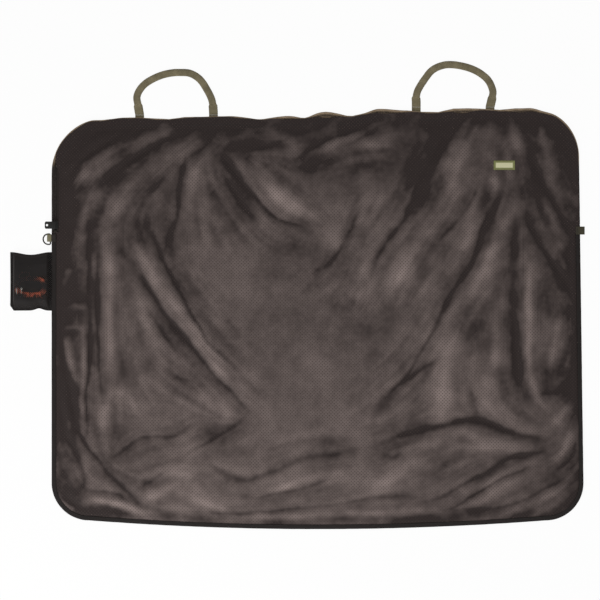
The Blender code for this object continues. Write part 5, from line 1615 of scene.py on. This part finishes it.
def woven_label():
    deselect()
    bpy.ops.mesh.primitive_grid_add(x_subdivisions=48, y_subdivisions=22, size=1.0)
    obj = bpy.context.object
    obj.name = "woven_label"
    obj.scale = (2 * LABEL_HALF[0], 2 * LABEL_HALF[1], 1.0)
    bpy.ops.object.transform_apply(scale=True)
    mesh = obj.data
    drop_uvs(mesh)
    layer = mesh.uv_layers.new(name="weave")
    for loop in mesh.loops:
        layer.data[loop.index].uv = mesh.vertices[loop.vertex_index].co.xy
    for vert in mesh.vertices:
        x, y = vert.co.x, vert.co.y
        curl = 0.0005 * (abs(x) / LABEL_HALF[0]) ** 4
        puff = 0.0003 * noise.noise(Vector((x * 90, y * 120, 6.0)))
        vert.co = (LABEL_CENTRE[0] + x, LABEL_CENTRE[1] + y, 0.0206 + curl + puff)
    thickened(obj, 0.0005, -1.0)
    finish_piece(obj, label_look(), "flap", "label_patch", slot="woven_label", smooth=50)
    x, y = LABEL_STITCH_HALF
    corners = [(-x, -y), (x, -y), (x, y), (-x, y), (-x, -y)]
    route = [Vector((LABEL_CENTRE[0] + a, LABEL_CENTRE[1] + b, 0.0208)) for a, b in corners]
    stitches("label_stitches", [route], olive_thread, "flap", pitch=0.0026, length=0.002)


woven_label()

# Seam of the front along its zip

SEAM_INSET = 0.0190
seam_path = [p for p in zip_path if p.y > ZIP_LEFT_END_Y + 0.003]
seam_points = [p + n * SEAM_INSET for p, n in zip(seam_path, inward(seam_path))]
seam_xy = np.array([p[:] for p in seam_points])
heights, _ = cloth_z(seam_xy, np.full(len(seam_xy), SEAM_INSET))
seam_route = [Vector((*p, float(h) + 0.0002)) for p, h in zip(seam_points, heights)]
seam = stitches("front_seam_stitches", [seam_route], dark_thread, None)
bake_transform(seam)

# Stage and light

deselect()
bpy.ops.mesh.primitive_plane_add(size=12.0, location=(0, 0, -0.0002))
floor = bpy.context.object
floor.name = "floor"
floor_look, tree, shader = material("pale_floor", Roughness=0.9, Base_Color=rgb("#f2f1ef"))
# Seen straight, the floor glows to the white of the picture; in light and shadow it is matt
FLOOR_GLOW = 0.95
rays = add(tree, "LightPath", out=None)
glow = add(tree, "Emission", rgb("#ffffff"), 1.0)
open_way = add(tree, "Math", rays.outputs["Transparent Depth"], 0.5, operation="LESS_THAN")
direct = add(tree, "Math", rays.outputs["Is Camera Ray"], open_way, operation="MULTIPLY")
clear = add(tree, "Math", direct, FLOOR_GLOW, operation="MULTIPLY")
mixed = add(tree, "MixShader", clear, shader.outputs[0], glow)
tree.links.new(mixed, tree.nodes["Material Output"].inputs["Surface"])
floor.data.materials.append(floor_look)

world = bpy.data.worlds.new("studio")
world.use_nodes = True
bpy.context.scene.world = world
tree = world.node_tree
tree.nodes.clear()
rays = add(tree, "LightPath", out=None)
seen_by = [rays.outputs[f"Is {kind} Ray"] for kind in ("Camera", "Glossy", "Transmission")]
glossy = add(tree, "Math", *seen_by[:2], operation="MAXIMUM")
either = add(tree, "Math", glossy, seen_by[2], operation="MAXIMUM")
light = add(tree, "Background", rgb("#f4f6f8"), 0.40)
white = add(tree, "Background", rgb("#ffffff"), 1.0)
add(tree, "OutputWorld", add(tree, "MixShader", either, light, white), out=None)

LAMP_SIZE = 1.8


def lamp(name, place, power):
    """A square lamp that faces the middle of the floor."""
    data = bpy.data.lights.new(name, "AREA")
    data.shape = "SQUARE"
    data.size = LAMP_SIZE
    data.energy = power
    obj = bpy.data.objects.new(name, data)
    obj.location = place
    obj.rotation_euler = (-Vector(place)).to_track_quat("-Z", "Y").to_euler()
    bpy.context.scene.collection.objects.link(obj)


lamp("window_low", (-1.5, -2.1, 1.7), 68)
lamp("window_high", (1.8, 1.9, 2.4), 16)

view = bpy.context.scene.view_settings
view.view_transform = "Standard"
